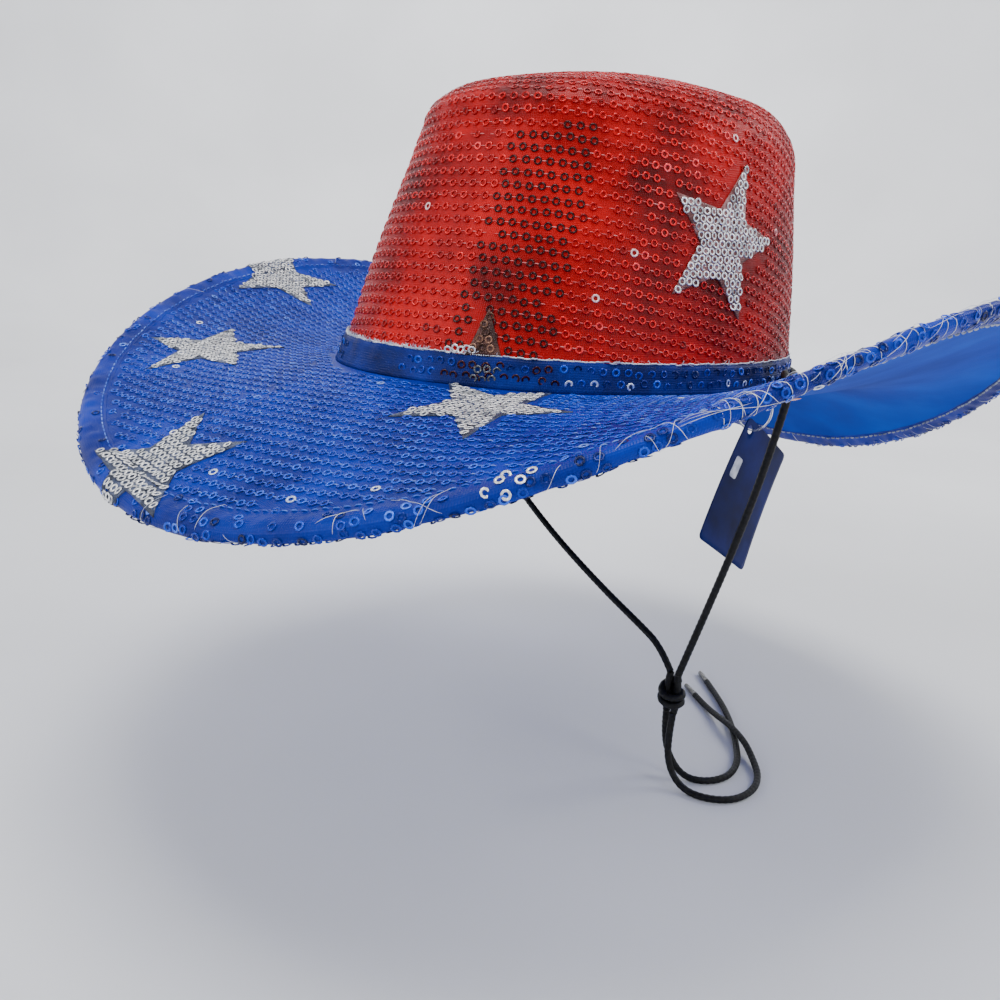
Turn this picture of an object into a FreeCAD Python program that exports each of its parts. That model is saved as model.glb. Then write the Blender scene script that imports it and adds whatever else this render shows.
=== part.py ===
"""Sequinned party hat with a wired brim, a chin cord and a hang tag, in millimetres.

Frame: the origin is the centre of the head opening, on the top face of the brim's stiffener.
+Z is up, -Y is the front of the hat and +X is the wearer's left.
"""
import FreeCAD, Part
import math
import os
import Sketcher
from FreeCAD import Placement, Rotation, Vector

SIZES = {
    # crown, measured over its cloth
    "crown_length": 206.0,
    "crown_width": 168.6,
    "tip_length": 162.8,
    "tip_width": 132.4,
    "tip_setback": 17.7,
    "crown_height": 103.0,
    "shoulder_radius": 24.0,
    "dome_height": 11.5,
    "dome_flat_share": 0.36,
    "crown_cloth_thickness": 0.8,
    "crown_stiffener_thickness": 2.4,
    "lining_thickness": 0.4,
    "sweatband_thickness": 1.0,
    "sweatband_height": 24.0,
    "hat_band_thickness": 0.8,
    "hat_band_height": 10.0,
    # brim, seen from above, and how its wire is bent
    "brim_width": 360.0,
    "brim_length": 376.0,
    "brim_forward_shift": 6.0,
    "side_curl": 39.0,
    "front_dip": 3.7,
    "brim_twist": 3.4,
    "brim_ripple": 3.3,
    "front_lift": 1.3,
    "inner_profile": 0.12,
    "outer_profile": 0.52,
    "brim_cloth_thickness": 0.8,
    "brim_stiffener_thickness": 2.1,
    "underside_thickness": 0.5,
    # rolled hem, its wire and its stitching
    "hem_width": 9.0,
    "hem_cloth_thickness": 0.8,
    "wire_diameter": 2.0,
    "ferrule_wall": 0.3,
    "ferrule_length": 10.0,
    "ferrule_angle": 135.0,
    "stitch_width": 1.2,
    "stitch_thickness": 0.4,
    # stars
    "star_radius": 29.8,
    "star_notch_radius": 12.4,
    "star_thickness": 0.5,
    # eyelets
    "eyelet_offset": 14.0,
    "eyelet_setback": 12.0,
    "eyelet_bore_radius": 2.2,
    "eyelet_wall": 0.4,
    "eyelet_flange_radius": 4.8,
    "eyelet_flange_thickness": 0.5,
    "eyelet_lean_room": 0.2,
    # chin cord
    "cord_diameter": 3.0,
    "knot_radius": 5.0,
    "knot_length": 17.0,
    "knot_rounding": 2.0,
    "cord_tip_length": 12.0,
    "cord_rise_at_eyelet": 7.0,
    "back_run_start": 14.0,
    # hang tag and its loop
    "tag_width": 36.0,
    "tag_length": 54.0,
    "tag_thickness": 0.5,
    "tag_hole_radius": 1.8,
    "tag_hole_inset": 4.0,
    "tag_setback": 36.5,
    "loop_radius": 8.5,
    "loop_wire_radius": 0.45,
    "loop_reach": 1.6,
    # clearances
    "seam_gap": 0.1,
    "cord_gap": 0.4,
}

doc = FreeCAD.newDocument("party_hat")
sheet = doc.addObject("Spreadsheet::Sheet", "sizes")
for row, (alias, value) in enumerate(SIZES.items(), start=1):
    sheet.set(f"A{row}", alias)
    sheet.set(f"B{row}", str(value))
    sheet.setAlias(f"B{row}", alias)
doc.recompute()


def size(alias):
    """Read one driving dimension from the sheet."""
    return float(sheet.get(alias))


def bind(thing, **expressions):
    """Bind each named property to an expression over the sheet."""
    for name, expression in expressions.items():
        thing.setExpression(name.replace("__", "."), expression)


WALL = "(sizes.crown_cloth_thickness + sizes.crown_stiffener_thickness + sizes.lining_thickness)"
FLOOR = "(-sizes.brim_stiffener_thickness - sizes.underside_thickness)"
RISE = f"(sizes.crown_height - {FLOOR})"
sub_parts = []


def keep(thing, label):
    """Give a finished sub-part its own name and put it on the list of pieces to write."""
    thing.Label = label
    sub_parts.append(thing)
    return thing


def add(kind, name, **expressions):
    thing = doc.addObject(kind, name)
    bind(thing, **expressions)
    return thing


def cut(name, base, tool):
    thing = doc.addObject("Part::Cut", name)
    thing.Base = base
    thing.Tool = tool
    return thing


def common(name, base, tool):
    thing = doc.addObject("Part::Common", name)
    thing.Base = base
    thing.Tool = tool
    return thing


def feature(name, shape):
    """Hold a free-form shape that has no feature of its own."""
    thing = doc.addObject("Part::Feature", name)
    thing.Shape = shape
    return thing


# ---------------------------------------------------------------- crown

def crown_oval(name, inset, height, share, scale="1"):
    """One oval of the crown: share is 0 at the base and 1 at the tip, and may be an expression."""
    oval = doc.addObject("Part::Ellipse", name)
    oval.Placement = Placement(Vector(0, 0, 0), Rotation(Vector(0, 0, 1), 90))
    length = f"(sizes.crown_length + (sizes.tip_length - sizes.crown_length) * {share})"
    width = f"(sizes.crown_width + (sizes.tip_width - sizes.crown_width) * {share})"
    bind(oval,
         MajorRadius=f"{length} / 2 * {scale} - {inset}",
         MinorRadius=f"{width} / 2 * {scale} - {inset}",
         Placement__Base__y=f"sizes.tip_setback * {share}",
         Placement__Base__z=height)
    return oval


def crown_loft(name, inset, low, high, low_share, high_share):
    loft = doc.addObject("Part::Loft", name)
    loft.Sections = [crown_oval(name + "_low", inset, low, low_share),
                     crown_oval(name + "_high", inset, high, high_share)]
    loft.Solid = True
    loft.Ruled = True
    return loft


def height_share(height):
    """How far up the crown's taper a height lies, as an expression."""
    return f"(({height}) - {FLOOR}) / {RISE}"


def crown_form(name, inset):
    """A solid hat block: the crown, inset by so much cloth, with a domed tip and a round shoulder."""
    high = f"sizes.crown_height - ({inset})"
    loft = crown_loft(name + "_loft", inset, FLOOR, high, "0", height_share(high))
    loft.Sections = loft.Sections + [crown_oval(name + "_dome", inset, f"{high} + sizes.dome_height",
                                                "1", "sizes.dome_flat_share")]
    doc.recompute()
    corner = loft.Shape.BoundBox.ZMax - size("dome_height")
    rim = [index for index, edge in enumerate(loft.Shape.Edges, start=1)
           if abs(edge.BoundBox.ZMin - corner) < 0.01]
    form = doc.addObject("Part::Fillet", name)
    form.Base = loft
    radius = size("shoulder_radius") - (size("crown_height") - corner)
    form.Edges = [(index, radius, radius) for index in rim]
    return form


def crown_ring(name, low, high, outer_inset, inner_inset):
    """A band that follows the crown's taper between two heights."""
    low_share = height_share(low)
    high_share = height_share(high)
    outer = crown_loft(name + "_outer", outer_inset, low, high, low_share, high_share)
    inner = crown_loft(name + "_inner", inner_inset, low, high, low_share, high_share)
    return cut(name, outer, inner)


CLOTH = "sizes.crown_cloth_thickness"
FELT = f"({CLOTH} + sizes.crown_stiffener_thickness)"
outside = crown_form("crown_outside", "0")
under_cloth = crown_form("crown_under_cloth", CLOTH)
under_felt = crown_form("crown_under_felt", FELT)
under_lining = crown_form("crown_under_lining", WALL)
crown_cloth = cut("crown_cloth", outside, under_cloth)

tip_region = add("Part::Box", "tip_region",
                 Length="sizes.crown_length * 2",
                 Width="sizes.crown_length * 2",
                 Height="sizes.crown_height",
                 Placement__Base__x="-sizes.crown_length",
                 Placement__Base__y="-sizes.crown_length",
                 Placement__Base__z="sizes.crown_height - sizes.shoulder_radius")
keep(cut("crown_side", crown_cloth, tip_region), "crown_side_cloth")
keep(common("crown_tip", crown_cloth, tip_region), "crown_tip_cloth")
keep(cut("crown_felt", under_cloth, under_felt), "crown_stiffener")
keep(cut("crown_lining_shell", under_felt, under_lining), "crown_lining")

BAND_LOW = "(sizes.brim_cloth_thickness + sizes.star_thickness + 4 * sizes.seam_gap)"
keep(crown_ring("hat_band_ring", BAND_LOW, f"{BAND_LOW} + sizes.hat_band_height",
                "(-sizes.hat_band_thickness - sizes.seam_gap)", "(-sizes.seam_gap)"),
     "hat_band")
keep(crown_ring("sweatband_ring", FLOOR, f"{FLOOR} + sizes.sweatband_height",
                f"({WALL} + sizes.seam_gap)",
                f"({WALL} + sizes.seam_gap + sizes.sweatband_thickness)"),
     "sweatband")


# ---------------------------------------------------------------- brim

STEPS = 36
ANGLES = [2 * math.pi * step / STEPS for step in range(STEPS)]


def crown_point(angle, outset, height):
    """A point beside the crown's wall; the angle runs from the front toward the wearer's left."""
    floor = -size("brim_stiffener_thickness") - size("underside_thickness")
    share = (height - floor) / (size("crown_height") - floor)
    length = size("crown_length") + (size("tip_length") - size("crown_length")) * share
    width = size("crown_width") + (size("tip_width") - size("crown_width")) * share
    return Vector((width / 2 + outset) * math.sin(angle),
                  size("tip_setback") * share - (length / 2 + outset) * math.cos(angle),
                  height)


def edge_height(angle):
    """Height of the brim's edge: the sides curl up, the front and the back dip."""
    return (size("front_lift") * math.cos(angle)
            - size("side_curl") * math.cos(2 * angle)
            + size("front_dip") * math.cos(3 * angle)
            - size("brim_twist") * math.sin(2 * angle)
            - size("brim_ripple") * math.sin(3 * angle))


def brim_root(angle):
    """The brim's inner edge, just outside the crown's cloth at the level of the brim."""
    root = crown_point(angle, size("seam_gap"), -size("brim_stiffener_thickness")
                       - size("underside_thickness"))
    return Vector(root.x, root.y, 0)


def brim_width_at(angle):
    root = brim_root(angle)
    return math.hypot(size("brim_width") / 2 * math.sin(angle) - root.x,
                      -size("brim_forward_shift") - size("brim_length") / 2 * math.cos(angle) - root.y)


def brim_point(angle, share, lift=0.0):
    """A point of the brim: share is 0 at the crown and 1 at the edge."""
    root = brim_root(angle)
    edge_x = size("brim_width") / 2 * math.sin(angle)
    edge_y = -size("brim_forward_shift") - size("brim_length") / 2 * math.cos(angle)
    rest = 1 - share
    profile = (3 * rest * rest * share * size("inner_profile")
               + 3 * rest * share * share * size("outer_profile") + share ** 3)
    return Vector(root.x + (edge_x - root.x) * share,
                  root.y + (edge_y - root.y) * share,
                  edge_height(angle) * profile + lift)


def ring_curve(points):
    """A closed smooth curve through one point for each angle."""
    curve = Part.BSplineCurve()
    curve.interpolate(Points=points, Parameters=ANGLES + [2 * math.pi], PeriodicFlag=True)
    return curve


def strip(low, high):
    """The ruled face between two closed curves of the same make."""
    surface = Part.BSplineSurface()
    surface.buildFromPolesMultsKnots([low.getPoles(), high.getPoles()],
                                     [2, 2], low.getMultiplicities(),
                                     [0.0, 1.0], low.getKnots(), False, True, 1, low.Degree)
    return surface.toShape()


def ring_solid(rows):
    """A solid that runs round the hat; rows are the corners of its section, in order."""
    curves = [ring_curve(row) for row in rows]
    faces = [strip(curve, curves[(index + 1) % len(curves)]) for index, curve in enumerate(curves)]
    shell = Part.makeShell(faces)
    shell.sewShape()
    solid = Part.makeSolid(shell)
    if solid.Volume < 0:
        solid.reverse()
    return solid


def brim_row(share_at, lift):
    return [brim_point(angle, share_at(angle), lift) for angle in ANGLES]


def inward(distance):
    """The share of the brim that lies so far in from its edge."""
    return lambda angle: 1 - distance / brim_width_at(angle)


def outward(distance):
    """The share of the brim that lies so far out from the crown."""
    return lambda angle: distance / brim_width_at(angle)


SHEET_STRIPS = 6


def brim_sheet(low, high, start, stop):
    """A sheet of the brim between two lifts, from one distance out of the crown to one in from the edge."""
    def share_at(step):
        part = step / SHEET_STRIPS
        return lambda angle: (outward(start)(angle) * (1 - part) + inward(stop)(angle) * part)
    under = [brim_row(share_at(step), low) for step in range(SHEET_STRIPS + 1)]
    over = [brim_row(share_at(step), high) for step in range(SHEET_STRIPS, -1, -1)]
    return ring_solid(under + over)


cloth_top = size("brim_cloth_thickness")
felt_low = -size("brim_stiffener_thickness")
cloth_low = felt_low - size("underside_thickness")
mid_lift = (cloth_top + cloth_low) / 2
half_stack = (cloth_top - cloth_low) / 2
wire_radius = size("wire_diameter") / 2
wire_inset = 3 * size("hem_cloth_thickness") + wire_radius
board_inset = wire_inset + wire_radius + size("ferrule_wall") + 3 * size("seam_gap")

eyelet_angle = math.acos(-size("eyelet_setback") / (size("crown_length") / 2))
eyelet_share = size("eyelet_offset") / brim_width_at(eyelet_angle)


def eyelet_seat(side):
    """Where an eyelet sits on the brim's reference face, and how the brim leans there."""
    angle = side * eyelet_angle
    here = brim_point(angle, eyelet_share)
    out = brim_point(angle, eyelet_share + 0.02) - here
    return here, math.degrees(math.atan2(out.z, math.hypot(out.x, out.y)))


SIDES = {"left": 1, "right": -1}


def on_eyelet(thing, side):
    """Put a piece made round the origin on the eyelet's axis, square to the brim."""
    here, lean = eyelet_seat(side)
    thing.Placement = Placement(here, Rotation(Vector(0, 1, 0), -side * lean))
    return thing


DRILL_LENGTH = 40


def brim_layer(name, low, high):
    """A layer of the brim with its two eyelet holes."""
    layer = feature(name + "_sheet", brim_sheet(low, high, 0.0, board_inset))
    for side_name, side in SIDES.items():
        drill = add("Part::Cylinder", f"{name}_drill_{side_name}",
                    Radius="sizes.eyelet_bore_radius + sizes.eyelet_wall + sizes.seam_gap",
                    Height=str(DRILL_LENGTH))
        here, lean = eyelet_seat(side)
        turn = Rotation(Vector(0, 1, 0), -side * lean)
        drill.Placement = Placement(here - turn.multVec(Vector(0, 0, DRILL_LENGTH / 2)), turn)
        layer = cut(f"{name}_{side_name}", layer, drill)
    return keep(layer, name)


brim_layer("brim_top_cloth", 0.0, cloth_top)
brim_layer("brim_stiffener", felt_low, 0.0)
brim_layer("brim_underside_cloth", cloth_low, felt_low)


def hem_row(distance, lift):
    return brim_row(inward(distance), mid_lift + lift)


gap = size("seam_gap")
cloth = size("hem_cloth_thickness")
lip = half_stack + gap + cloth
hem = size("hem_width")
bend = 3.0 * cloth
nose = 0.5 * cloth
hem_outline = [
    (hem, lip), (bend, lip), (nose, 0.55 * lip), (0.0, 0.0),
    (nose, -0.55 * lip), (bend, -lip), (hem, -lip),
    (hem, -lip + cloth), (bend, -lip + cloth), (cloth, 0.0),
    (bend, lip - cloth), (hem, lip - cloth),
]
keep(feature("hem", ring_solid([hem_row(distance, lift) for distance, lift in hem_outline])), "brim_hem")

WIRE_SIDES = 8


def wire_point(angle):
    return brim_point(angle, inward(wire_inset)(angle), mid_lift)


def wire_surface(angle, turn):
    """A point of the wire's round section, which stands square to the brim."""
    centre = wire_point(angle)
    along = wire_point(angle + 0.01) - wire_point(angle - 0.01)
    slope = brim_point(angle, 1.0) - brim_point(angle, 0.99)
    across = along.cross(slope).normalize()
    out = across.cross(along).normalize()
    return centre + out * (wire_radius * math.cos(turn)) + across * (wire_radius * math.sin(turn))


wire_rows = [[wire_surface(angle, 2 * math.pi * side / WIRE_SIDES) for angle in ANGLES]
             for side in range(WIRE_SIDES)]
keep(feature("wire", ring_solid(wire_rows)), "brim_wire")

stitch_out = hem + gap
stitch_in = stitch_out + size("stitch_width")
stitch_high = -half_stack - gap
stitch_low = stitch_high - size("stitch_thickness")
keep(feature("stitching", ring_solid([hem_row(stitch_in, stitch_low), hem_row(stitch_out, stitch_low),
                                      hem_row(stitch_out, stitch_high), hem_row(stitch_in, stitch_high)])),
     "hem_stitching")


# ---------------------------------------------------------------- wire ferrule

FERRULE_BORE = "(sizes.wire_diameter / 2 + 1.5 * sizes.seam_gap)"
ferrule_tube = add("Part::Cylinder", "ferrule_tube", Radius=f"{FERRULE_BORE} + sizes.ferrule_wall",
                   Height="sizes.ferrule_length")
ferrule_bore = add("Part::Cylinder", "ferrule_bore", Radius=FERRULE_BORE,
                   Height="sizes.ferrule_length")
ferrule = keep(cut("ferrule", ferrule_tube, ferrule_bore), "wire_ferrule")
ferrule_turn = math.radians(size("ferrule_angle"))
along_wire = (wire_point(ferrule_turn + 0.02) - wire_point(ferrule_turn - 0.02)).normalize()
ferrule.Placement = Placement(wire_point(ferrule_turn) - along_wire * (size("ferrule_length") / 2),
                              Rotation(Vector(0, 0, 1), along_wire))


# ---------------------------------------------------------------- stars

def star_face(centre, across, up, turn):
    """A five-pointed star in the plane of two directions."""
    corners = []
    for corner in range(10):
        reach = size("star_radius") if corner % 2 == 0 else size("star_notch_radius")
        angle = math.radians(turn + 36 * corner)
        corners.append(centre + across * (reach * math.sin(angle)) + up * (reach * math.cos(angle)))
    return Part.Face(Part.makePolygon(corners + corners[:1]))


star_shell = cut("star_shell", crown_form("star_outside", "(-sizes.star_thickness)"), outside)


def crown_star(name, angle_deg, height, turn):
    """A star on the crown's wall, at an angle round from the front and a height."""
    angle = math.radians(angle_deg)
    centre = crown_point(angle, 0.0, height)
    across = (crown_point(angle + 0.01, 0.0, height) - crown_point(angle - 0.01, 0.0, height)).normalize()
    up = (crown_point(angle, 0.0, height + 1) - crown_point(angle, 0.0, height - 1)).normalize()
    out = across.cross(up)
    reach = size("star_radius")
    prism = star_face(centre - out * reach, across, up, turn).extrude(out * (2 * reach))
    band_top = cloth_top + size("star_thickness") + 5 * gap + size("hat_band_height")
    below = Part.makeBox(4 * reach, 4 * reach, 4 * reach, centre - Vector(2 * reach, 2 * reach, 0))
    below.translate(Vector(0, 0, band_top - 4 * reach - height))
    blank = feature(name + "_prism", prism.cut(below))
    return keep(common(name + "_patch", star_shell, blank), name)


CROWN_STARS = {
    "crown_star_left": (82.6, 53.2, 14.0),
    "crown_star_front": (31.0, -1.5, -6.0),
    "crown_star_right": (-80.0, 45.0, -20.0),
    "crown_star_back": (172.0, 52.0, 30.0),
}
for star_name, (star_angle, star_height, star_turn) in CROWN_STARS.items():
    crown_star(star_name, star_angle, star_height, star_turn)

star_low = cloth_top + 2 * gap
star_layer = feature("star_layer", brim_sheet(star_low, star_low + size("star_thickness"),
                                              size("hat_band_thickness") + 3 * gap,
                                              hem + 3 * gap))


def brim_star(name, angle_deg, share, turn):
    """A star laid on the brim's top cloth."""
    centre = brim_point(math.radians(angle_deg), share)
    prism = star_face(Vector(centre.x, centre.y, -100), Vector(1, 0, 0), Vector(0, 1, 0), turn)
    blank = feature(name + "_prism", prism.extrude(Vector(0, 0, 200)))
    return keep(common(name + "_patch", star_layer, blank), name)


BRIM_STARS = {
    "brim_star_front": (-0.4, 0.86, 40.0),
    "brim_star_front_right": (-38.3, 0.56, -47.0),
    "brim_star_right": (-75.8, 0.86, 16.0),
    "brim_star_front_left": (36.0, 0.24, -2.0),
    "brim_star_back_left": (139.0, 0.74, 20.0),
    "brim_star_back": (170.0, 0.72, -12.0),
    "brim_star_back_right": (-128.0, 0.55, 8.0),
}
for star_name, (star_angle, star_share, star_turn) in BRIM_STARS.items():
    brim_star(star_name, star_angle, star_share, star_turn)


# ---------------------------------------------------------------- eyelets

def disc(name, radius, low, high):
    return add("Part::Cylinder", name, Radius=radius, Height=f"({high}) - ({low})", Placement__Base__z=low)


BORE = "sizes.eyelet_bore_radius"
BARREL = f"({BORE} + sizes.eyelet_wall)"
FLANGE_LOW = f"(sizes.brim_cloth_thickness + sizes.eyelet_lean_room + sizes.seam_gap)"
FLANGE_HIGH = f"({FLANGE_LOW} + sizes.eyelet_flange_thickness)"
WASHER_HIGH = f"({FLOOR} - sizes.eyelet_lean_room - sizes.seam_gap)"
WASHER_LOW = f"({WASHER_HIGH} - sizes.eyelet_flange_thickness)"
for side_name, side in SIDES.items():
    name = f"eyelet_{side_name}"
    flange = disc(name + "_flange", "sizes.eyelet_flange_radius", FLANGE_LOW, FLANGE_HIGH)
    barrel = disc(name + "_barrel", BARREL, WASHER_LOW, FLANGE_HIGH)
    body = doc.addObject("Part::Fuse", name + "_body")
    body.Base = flange
    body.Tool = barrel
    bore = disc(name + "_bore", BORE, f"{WASHER_LOW} - 1", f"{FLANGE_HIGH} + 1")
    on_eyelet(keep(cut(name + "_piece", body, bore), name), side)
    plate = disc(name + "_plate", "sizes.eyelet_flange_radius", WASHER_LOW, WASHER_HIGH)
    hole = disc(name + "_hole", f"{BARREL} + sizes.seam_gap / 2", WASHER_LOW, WASHER_HIGH)
    on_eyelet(keep(cut(name + "_washer_piece", plate, hole), f"eyelet_washer_{side_name}"), side)


# ---------------------------------------------------------------- chin cord

cord_radius = size("cord_diameter") / 2


def cord_tube(name, points):
    """Sweep the cord along straight runs joined by tangent arcs."""
    edges = []
    start = points[0]
    radii = []
    for before, corner, after in zip(points, points[1:], points[2:]):
        inbound = corner - before
        outbound = after - corner
        short = min(inbound.Length, outbound.Length)
        inbound.normalize()
        outbound.normalize()
        half_turn = inbound.getAngle(outbound) / 2
        trim = 0.45 * short
        radius = trim / math.tan(half_turn)
        bisector = (outbound - inbound).normalize()
        first = corner - inbound * trim
        last = corner + outbound * trim
        middle = corner + bisector * (radius / math.cos(half_turn) - radius)
        edges.append(Part.LineSegment(start, first).toShape())
        edges.append(Part.Arc(first, middle, last).toShape())
        radii.append(radius)
        start = last
    edges.append(Part.LineSegment(start, points[-1]).toShape())
    path = Part.Wire(edges)
    section = Part.Wire(Part.makeCircle(cord_radius, points[0], points[1] - points[0]))
    solid = path.makePipeShell([section], True, True)
    filled = solid.Volume / (math.pi * cord_radius ** 2 * path.Length)
    print(f"{name}: length {path.Length:.1f} mm, volume share {filled:.4f}, radii "
          + " ".join(f"{radius:.0f}" for radius in radii))
    return keep(feature(name + "_tube", solid), name)


def eyelet_level(side, lift):
    """A point on an eyelet's axis, so far above the brim's reference face."""
    here, lean = eyelet_seat(side)
    return here + Rotation(Vector(0, 1, 0), -side * lean).multVec(Vector(0, 0, lift))


def back_run_point(angle):
    """The cord's centre beside the hat band, on the brim's top cloth and clear of the stars."""
    lift = star_low + size("star_thickness") + cord_radius + size("cord_gap")
    outset = size("hat_band_thickness") + gap + cord_radius + 2 * size("cord_gap")
    beside = crown_point(angle, outset, lift)
    share = outset / brim_width_at(angle)
    return Vector(beside.x, beside.y, lift + brim_point(angle, share).z)


BACK_TURNS = 19
first_angle = eyelet_angle + math.radians(size("back_run_start"))
angles = [first_angle + (2 * math.pi - 2 * first_angle) * step / (BACK_TURNS - 1)
          for step in range(BACK_TURNS)]
mid_eyelet = cloth_low
over_eyelet = cloth_top + size("cord_rise_at_eyelet")
back_route = ([eyelet_level(1, mid_eyelet), eyelet_level(1, over_eyelet)]
              + [back_run_point(angle) for angle in angles]
              + [eyelet_level(-1, over_eyelet), eyelet_level(-1, mid_eyelet)])
cord_tube("cord_back_run", back_route)

KNOT_TOP = Vector(69.2, 4.9, -117.0)
knot_bottom = KNOT_TOP - Vector(0, 0, size("knot_length"))
left_exit = eyelet_level(1, mid_eyelet)
right_exit = eyelet_level(-1, mid_eyelet)
cord_tube("cord_left_strand", [
    left_exit, Vector(95.5, 11.2, -20), Vector(88.5, 9.5, -52), Vector(79.7, 7, -86),
    KNOT_TOP + Vector(2.0, 0, 0)])
cord_tube("cord_right_strand", [
    right_exit, Vector(-93.5, 11.2, -15), Vector(-74, 11, -36), Vector(-44, 10, -58),
    Vector(-10, 8, -78), Vector(24, 7, -94), Vector(47.5, 6, -103), Vector(60.5, 5.4, -108.5),
    KNOT_TOP - Vector(2.0, 0, 0)])
cord_tube("cord_tail_inner", [
    knot_bottom - Vector(2.2, -0.6, 0), Vector(64.5, 9, -148), Vector(67, 12.5, -160),
    Vector(75, 13, -165), Vector(83, 19, -165), Vector(85.5, 30, -165), Vector(81, 43, -165),
    Vector(71, 56, -165), Vector(57, 72, -165), Vector(39, 88, -165), Vector(22, 100, -165)])
cord_tube("cord_tail_outer", [
    knot_bottom + Vector(2.0, -0.6, 0), Vector(70.2, 4, -148), Vector(72.5, 5, -160),
    Vector(81, 4.5, -165), Vector(91, 7.5, -165), Vector(98, 16, -165), Vector(98.5, 29, -165),
    Vector(93, 41, -165), Vector(84, 49.5, -163.8), Vector(75, 56, -161.6), Vector(62, 63.5, -161.6),
    Vector(49, 70.5, -163.8), Vector(38, 76.5, -165), Vector(28, 82, -165)])

knot_core = add("Part::Cylinder", "knot_core", Radius="sizes.knot_radius", Height="sizes.knot_length")
doc.recompute()
knot = doc.addObject("Part::Fillet", "knot")
knot.Base = knot_core
round_edges = [index for index, edge in enumerate(knot_core.Shape.Edges, start=1)
               if isinstance(edge.Curve, Part.Circle)]
knot.Edges = [(index, size("knot_rounding"), size("knot_rounding")) for index in round_edges]
knot.Placement = Placement(knot_bottom, Rotation())
keep(knot, "cord_knot")


def cord_tip(name, end, before):
    """A sealed tip that carries on from the end of a tail."""
    tip = add("Part::Cylinder", name + "_tip", Radius="sizes.cord_diameter / 2",
              Height="sizes.cord_tip_length")
    tip.Placement = Placement(end, Rotation(Vector(0, 0, 1), end - before))
    return keep(tip, name)


cord_tip("cord_tip_inner", Vector(22, 100, -165), Vector(39, 88, -165))
cord_tip("cord_tip_outer", Vector(28, 82, -165), Vector(38, 76.5, -165))


# ---------------------------------------------------------------- hang tag

tag = doc.addObject("PartDesign::Body", "hang_tag_body")
sketch = tag.newObject("Sketcher::SketchObject", "tag_outline")
origin_planes = {plane.Role: plane for plane in tag.Origin.OriginFeatures}
sketch.AttachmentSupport = [(origin_planes["YZ_Plane"], "")]
sketch.MapMode = "FlatFace"
tag_near = size("tag_hole_inset")
tag_side = size("tag_width") - tag_near
tag_foot = size("tag_length") - tag_near
corner = [Vector(-tag_near, tag_near, 0), Vector(tag_side, tag_near, 0),
          Vector(tag_side, -tag_foot, 0), Vector(-tag_near, -tag_foot, 0)]
for side_index in range(4):
    sketch.addGeometry(Part.LineSegment(corner[side_index], corner[(side_index + 1) % 4]))
sketch.addGeometry(Part.Circle(Vector(0, 0, 0), Vector(0, 0, 1), size("tag_hole_radius")))
for side_index in range(4):
    sketch.addConstraint(Sketcher.Constraint("Coincident", side_index, 2, (side_index + 1) % 4, 1))
for side_index, direction in enumerate(["Horizontal", "Vertical", "Horizontal", "Vertical"]):
    sketch.addConstraint(Sketcher.Constraint(direction, side_index))
sketch.addConstraint(Sketcher.Constraint("Coincident", 4, 3, -1, 1))
TAG_RULES = [
    ("width", "DistanceX", (0, 1, 0, 2), "tag_width"),
    ("length", "DistanceY", (1, 2, 1, 1), "tag_length"),
    ("side_inset", "DistanceX", (0, 1, -1, 1), "tag_hole_inset"),
    ("top_inset", "DistanceY", (-1, 1, 0, 1), "tag_hole_inset"),
    ("hole", "Radius", (4,), "tag_hole_radius"),
]
for rule_name, kind, ends, alias in TAG_RULES:
    index = sketch.addConstraint(Sketcher.Constraint(kind, *ends, size(alias)))
    sketch.renameConstraint(index, rule_name)
    sketch.setExpression(f"Constraints.{rule_name}", f"sizes.{alias}")
pad = tag.newObject("PartDesign::Pad", "tag_pad")
pad.Profile = sketch
pad.Midplane = True
pad.setExpression("Length", "sizes.tag_thickness")
tag.Tip = pad

inner_outset = -(size("crown_cloth_thickness") + size("crown_stiffener_thickness")
                 + size("lining_thickness"))
inner_half_width = size("crown_width") / 2 + inner_outset
inner_half_length = size("crown_length") / 2 + inner_outset
wall_x = inner_half_width * math.sqrt(1 - (size("tag_setback") / inner_half_length) ** 2)
loop_top = cloth_low + size("loop_reach")
loop_centre_z = loop_top - size("loop_radius")
half_chord = math.sqrt(size("loop_radius") ** 2 - (size("loop_radius") - size("loop_reach")) ** 2)
loop_x = wall_x - half_chord - size("loop_wire_radius") - gap
tag_pivot = Vector(loop_x, size("tag_setback"), loop_centre_z - size("loop_radius"))
hang_angle = math.degrees(math.atan2(size("tag_width") / 2 - size("tag_hole_inset"),
                                     size("tag_length") / 2 - size("tag_hole_inset")))
tag.Placement = Placement(tag_pivot, Rotation(Vector(1, 0, 0), -hang_angle))
keep(tag, "hang_tag")

loop = add("Part::Torus", "loop_ring", Radius1="sizes.loop_radius", Radius2="sizes.loop_wire_radius")
loop.Placement = Placement(Vector(loop_x, size("tag_setback"), loop_centre_z),
                           Rotation(Vector(1, 0, 0), 90))
keep(loop, "tag_loop")
print("tag pivot", tag_pivot)


# ---------------------------------------------------------------- check and write

doc.recompute()
for thing in doc.Objects:
    if "Invalid" in thing.State or "Error" in thing.State:
        raise RuntimeError(f"{thing.Label} is {thing.State}")
for thing in sub_parts:
    if thing.Shape.isNull() or not thing.Shape.isValid():
        raise RuntimeError(f"{thing.Label} has no valid shape")
os.makedirs("parts", exist_ok=True)
for thing in sub_parts:
    thing.Shape.exportStep(f"parts/{thing.Label}.step")
    solids = len(thing.Shape.Solids)
    print(f"{thing.Label}: {solids} solid, {thing.Shape.Volume / 1000:.2f} cm3")
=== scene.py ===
# %% [markdown]
# # A sequinned party hat
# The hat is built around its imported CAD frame. Every visible skin is a small numpy function of two
# parameters, so the cloth, the sequins, the stars and the threads all lie on the same surfaces.
# Lengths are in millimetres here and become metres when a mesh is made.

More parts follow.
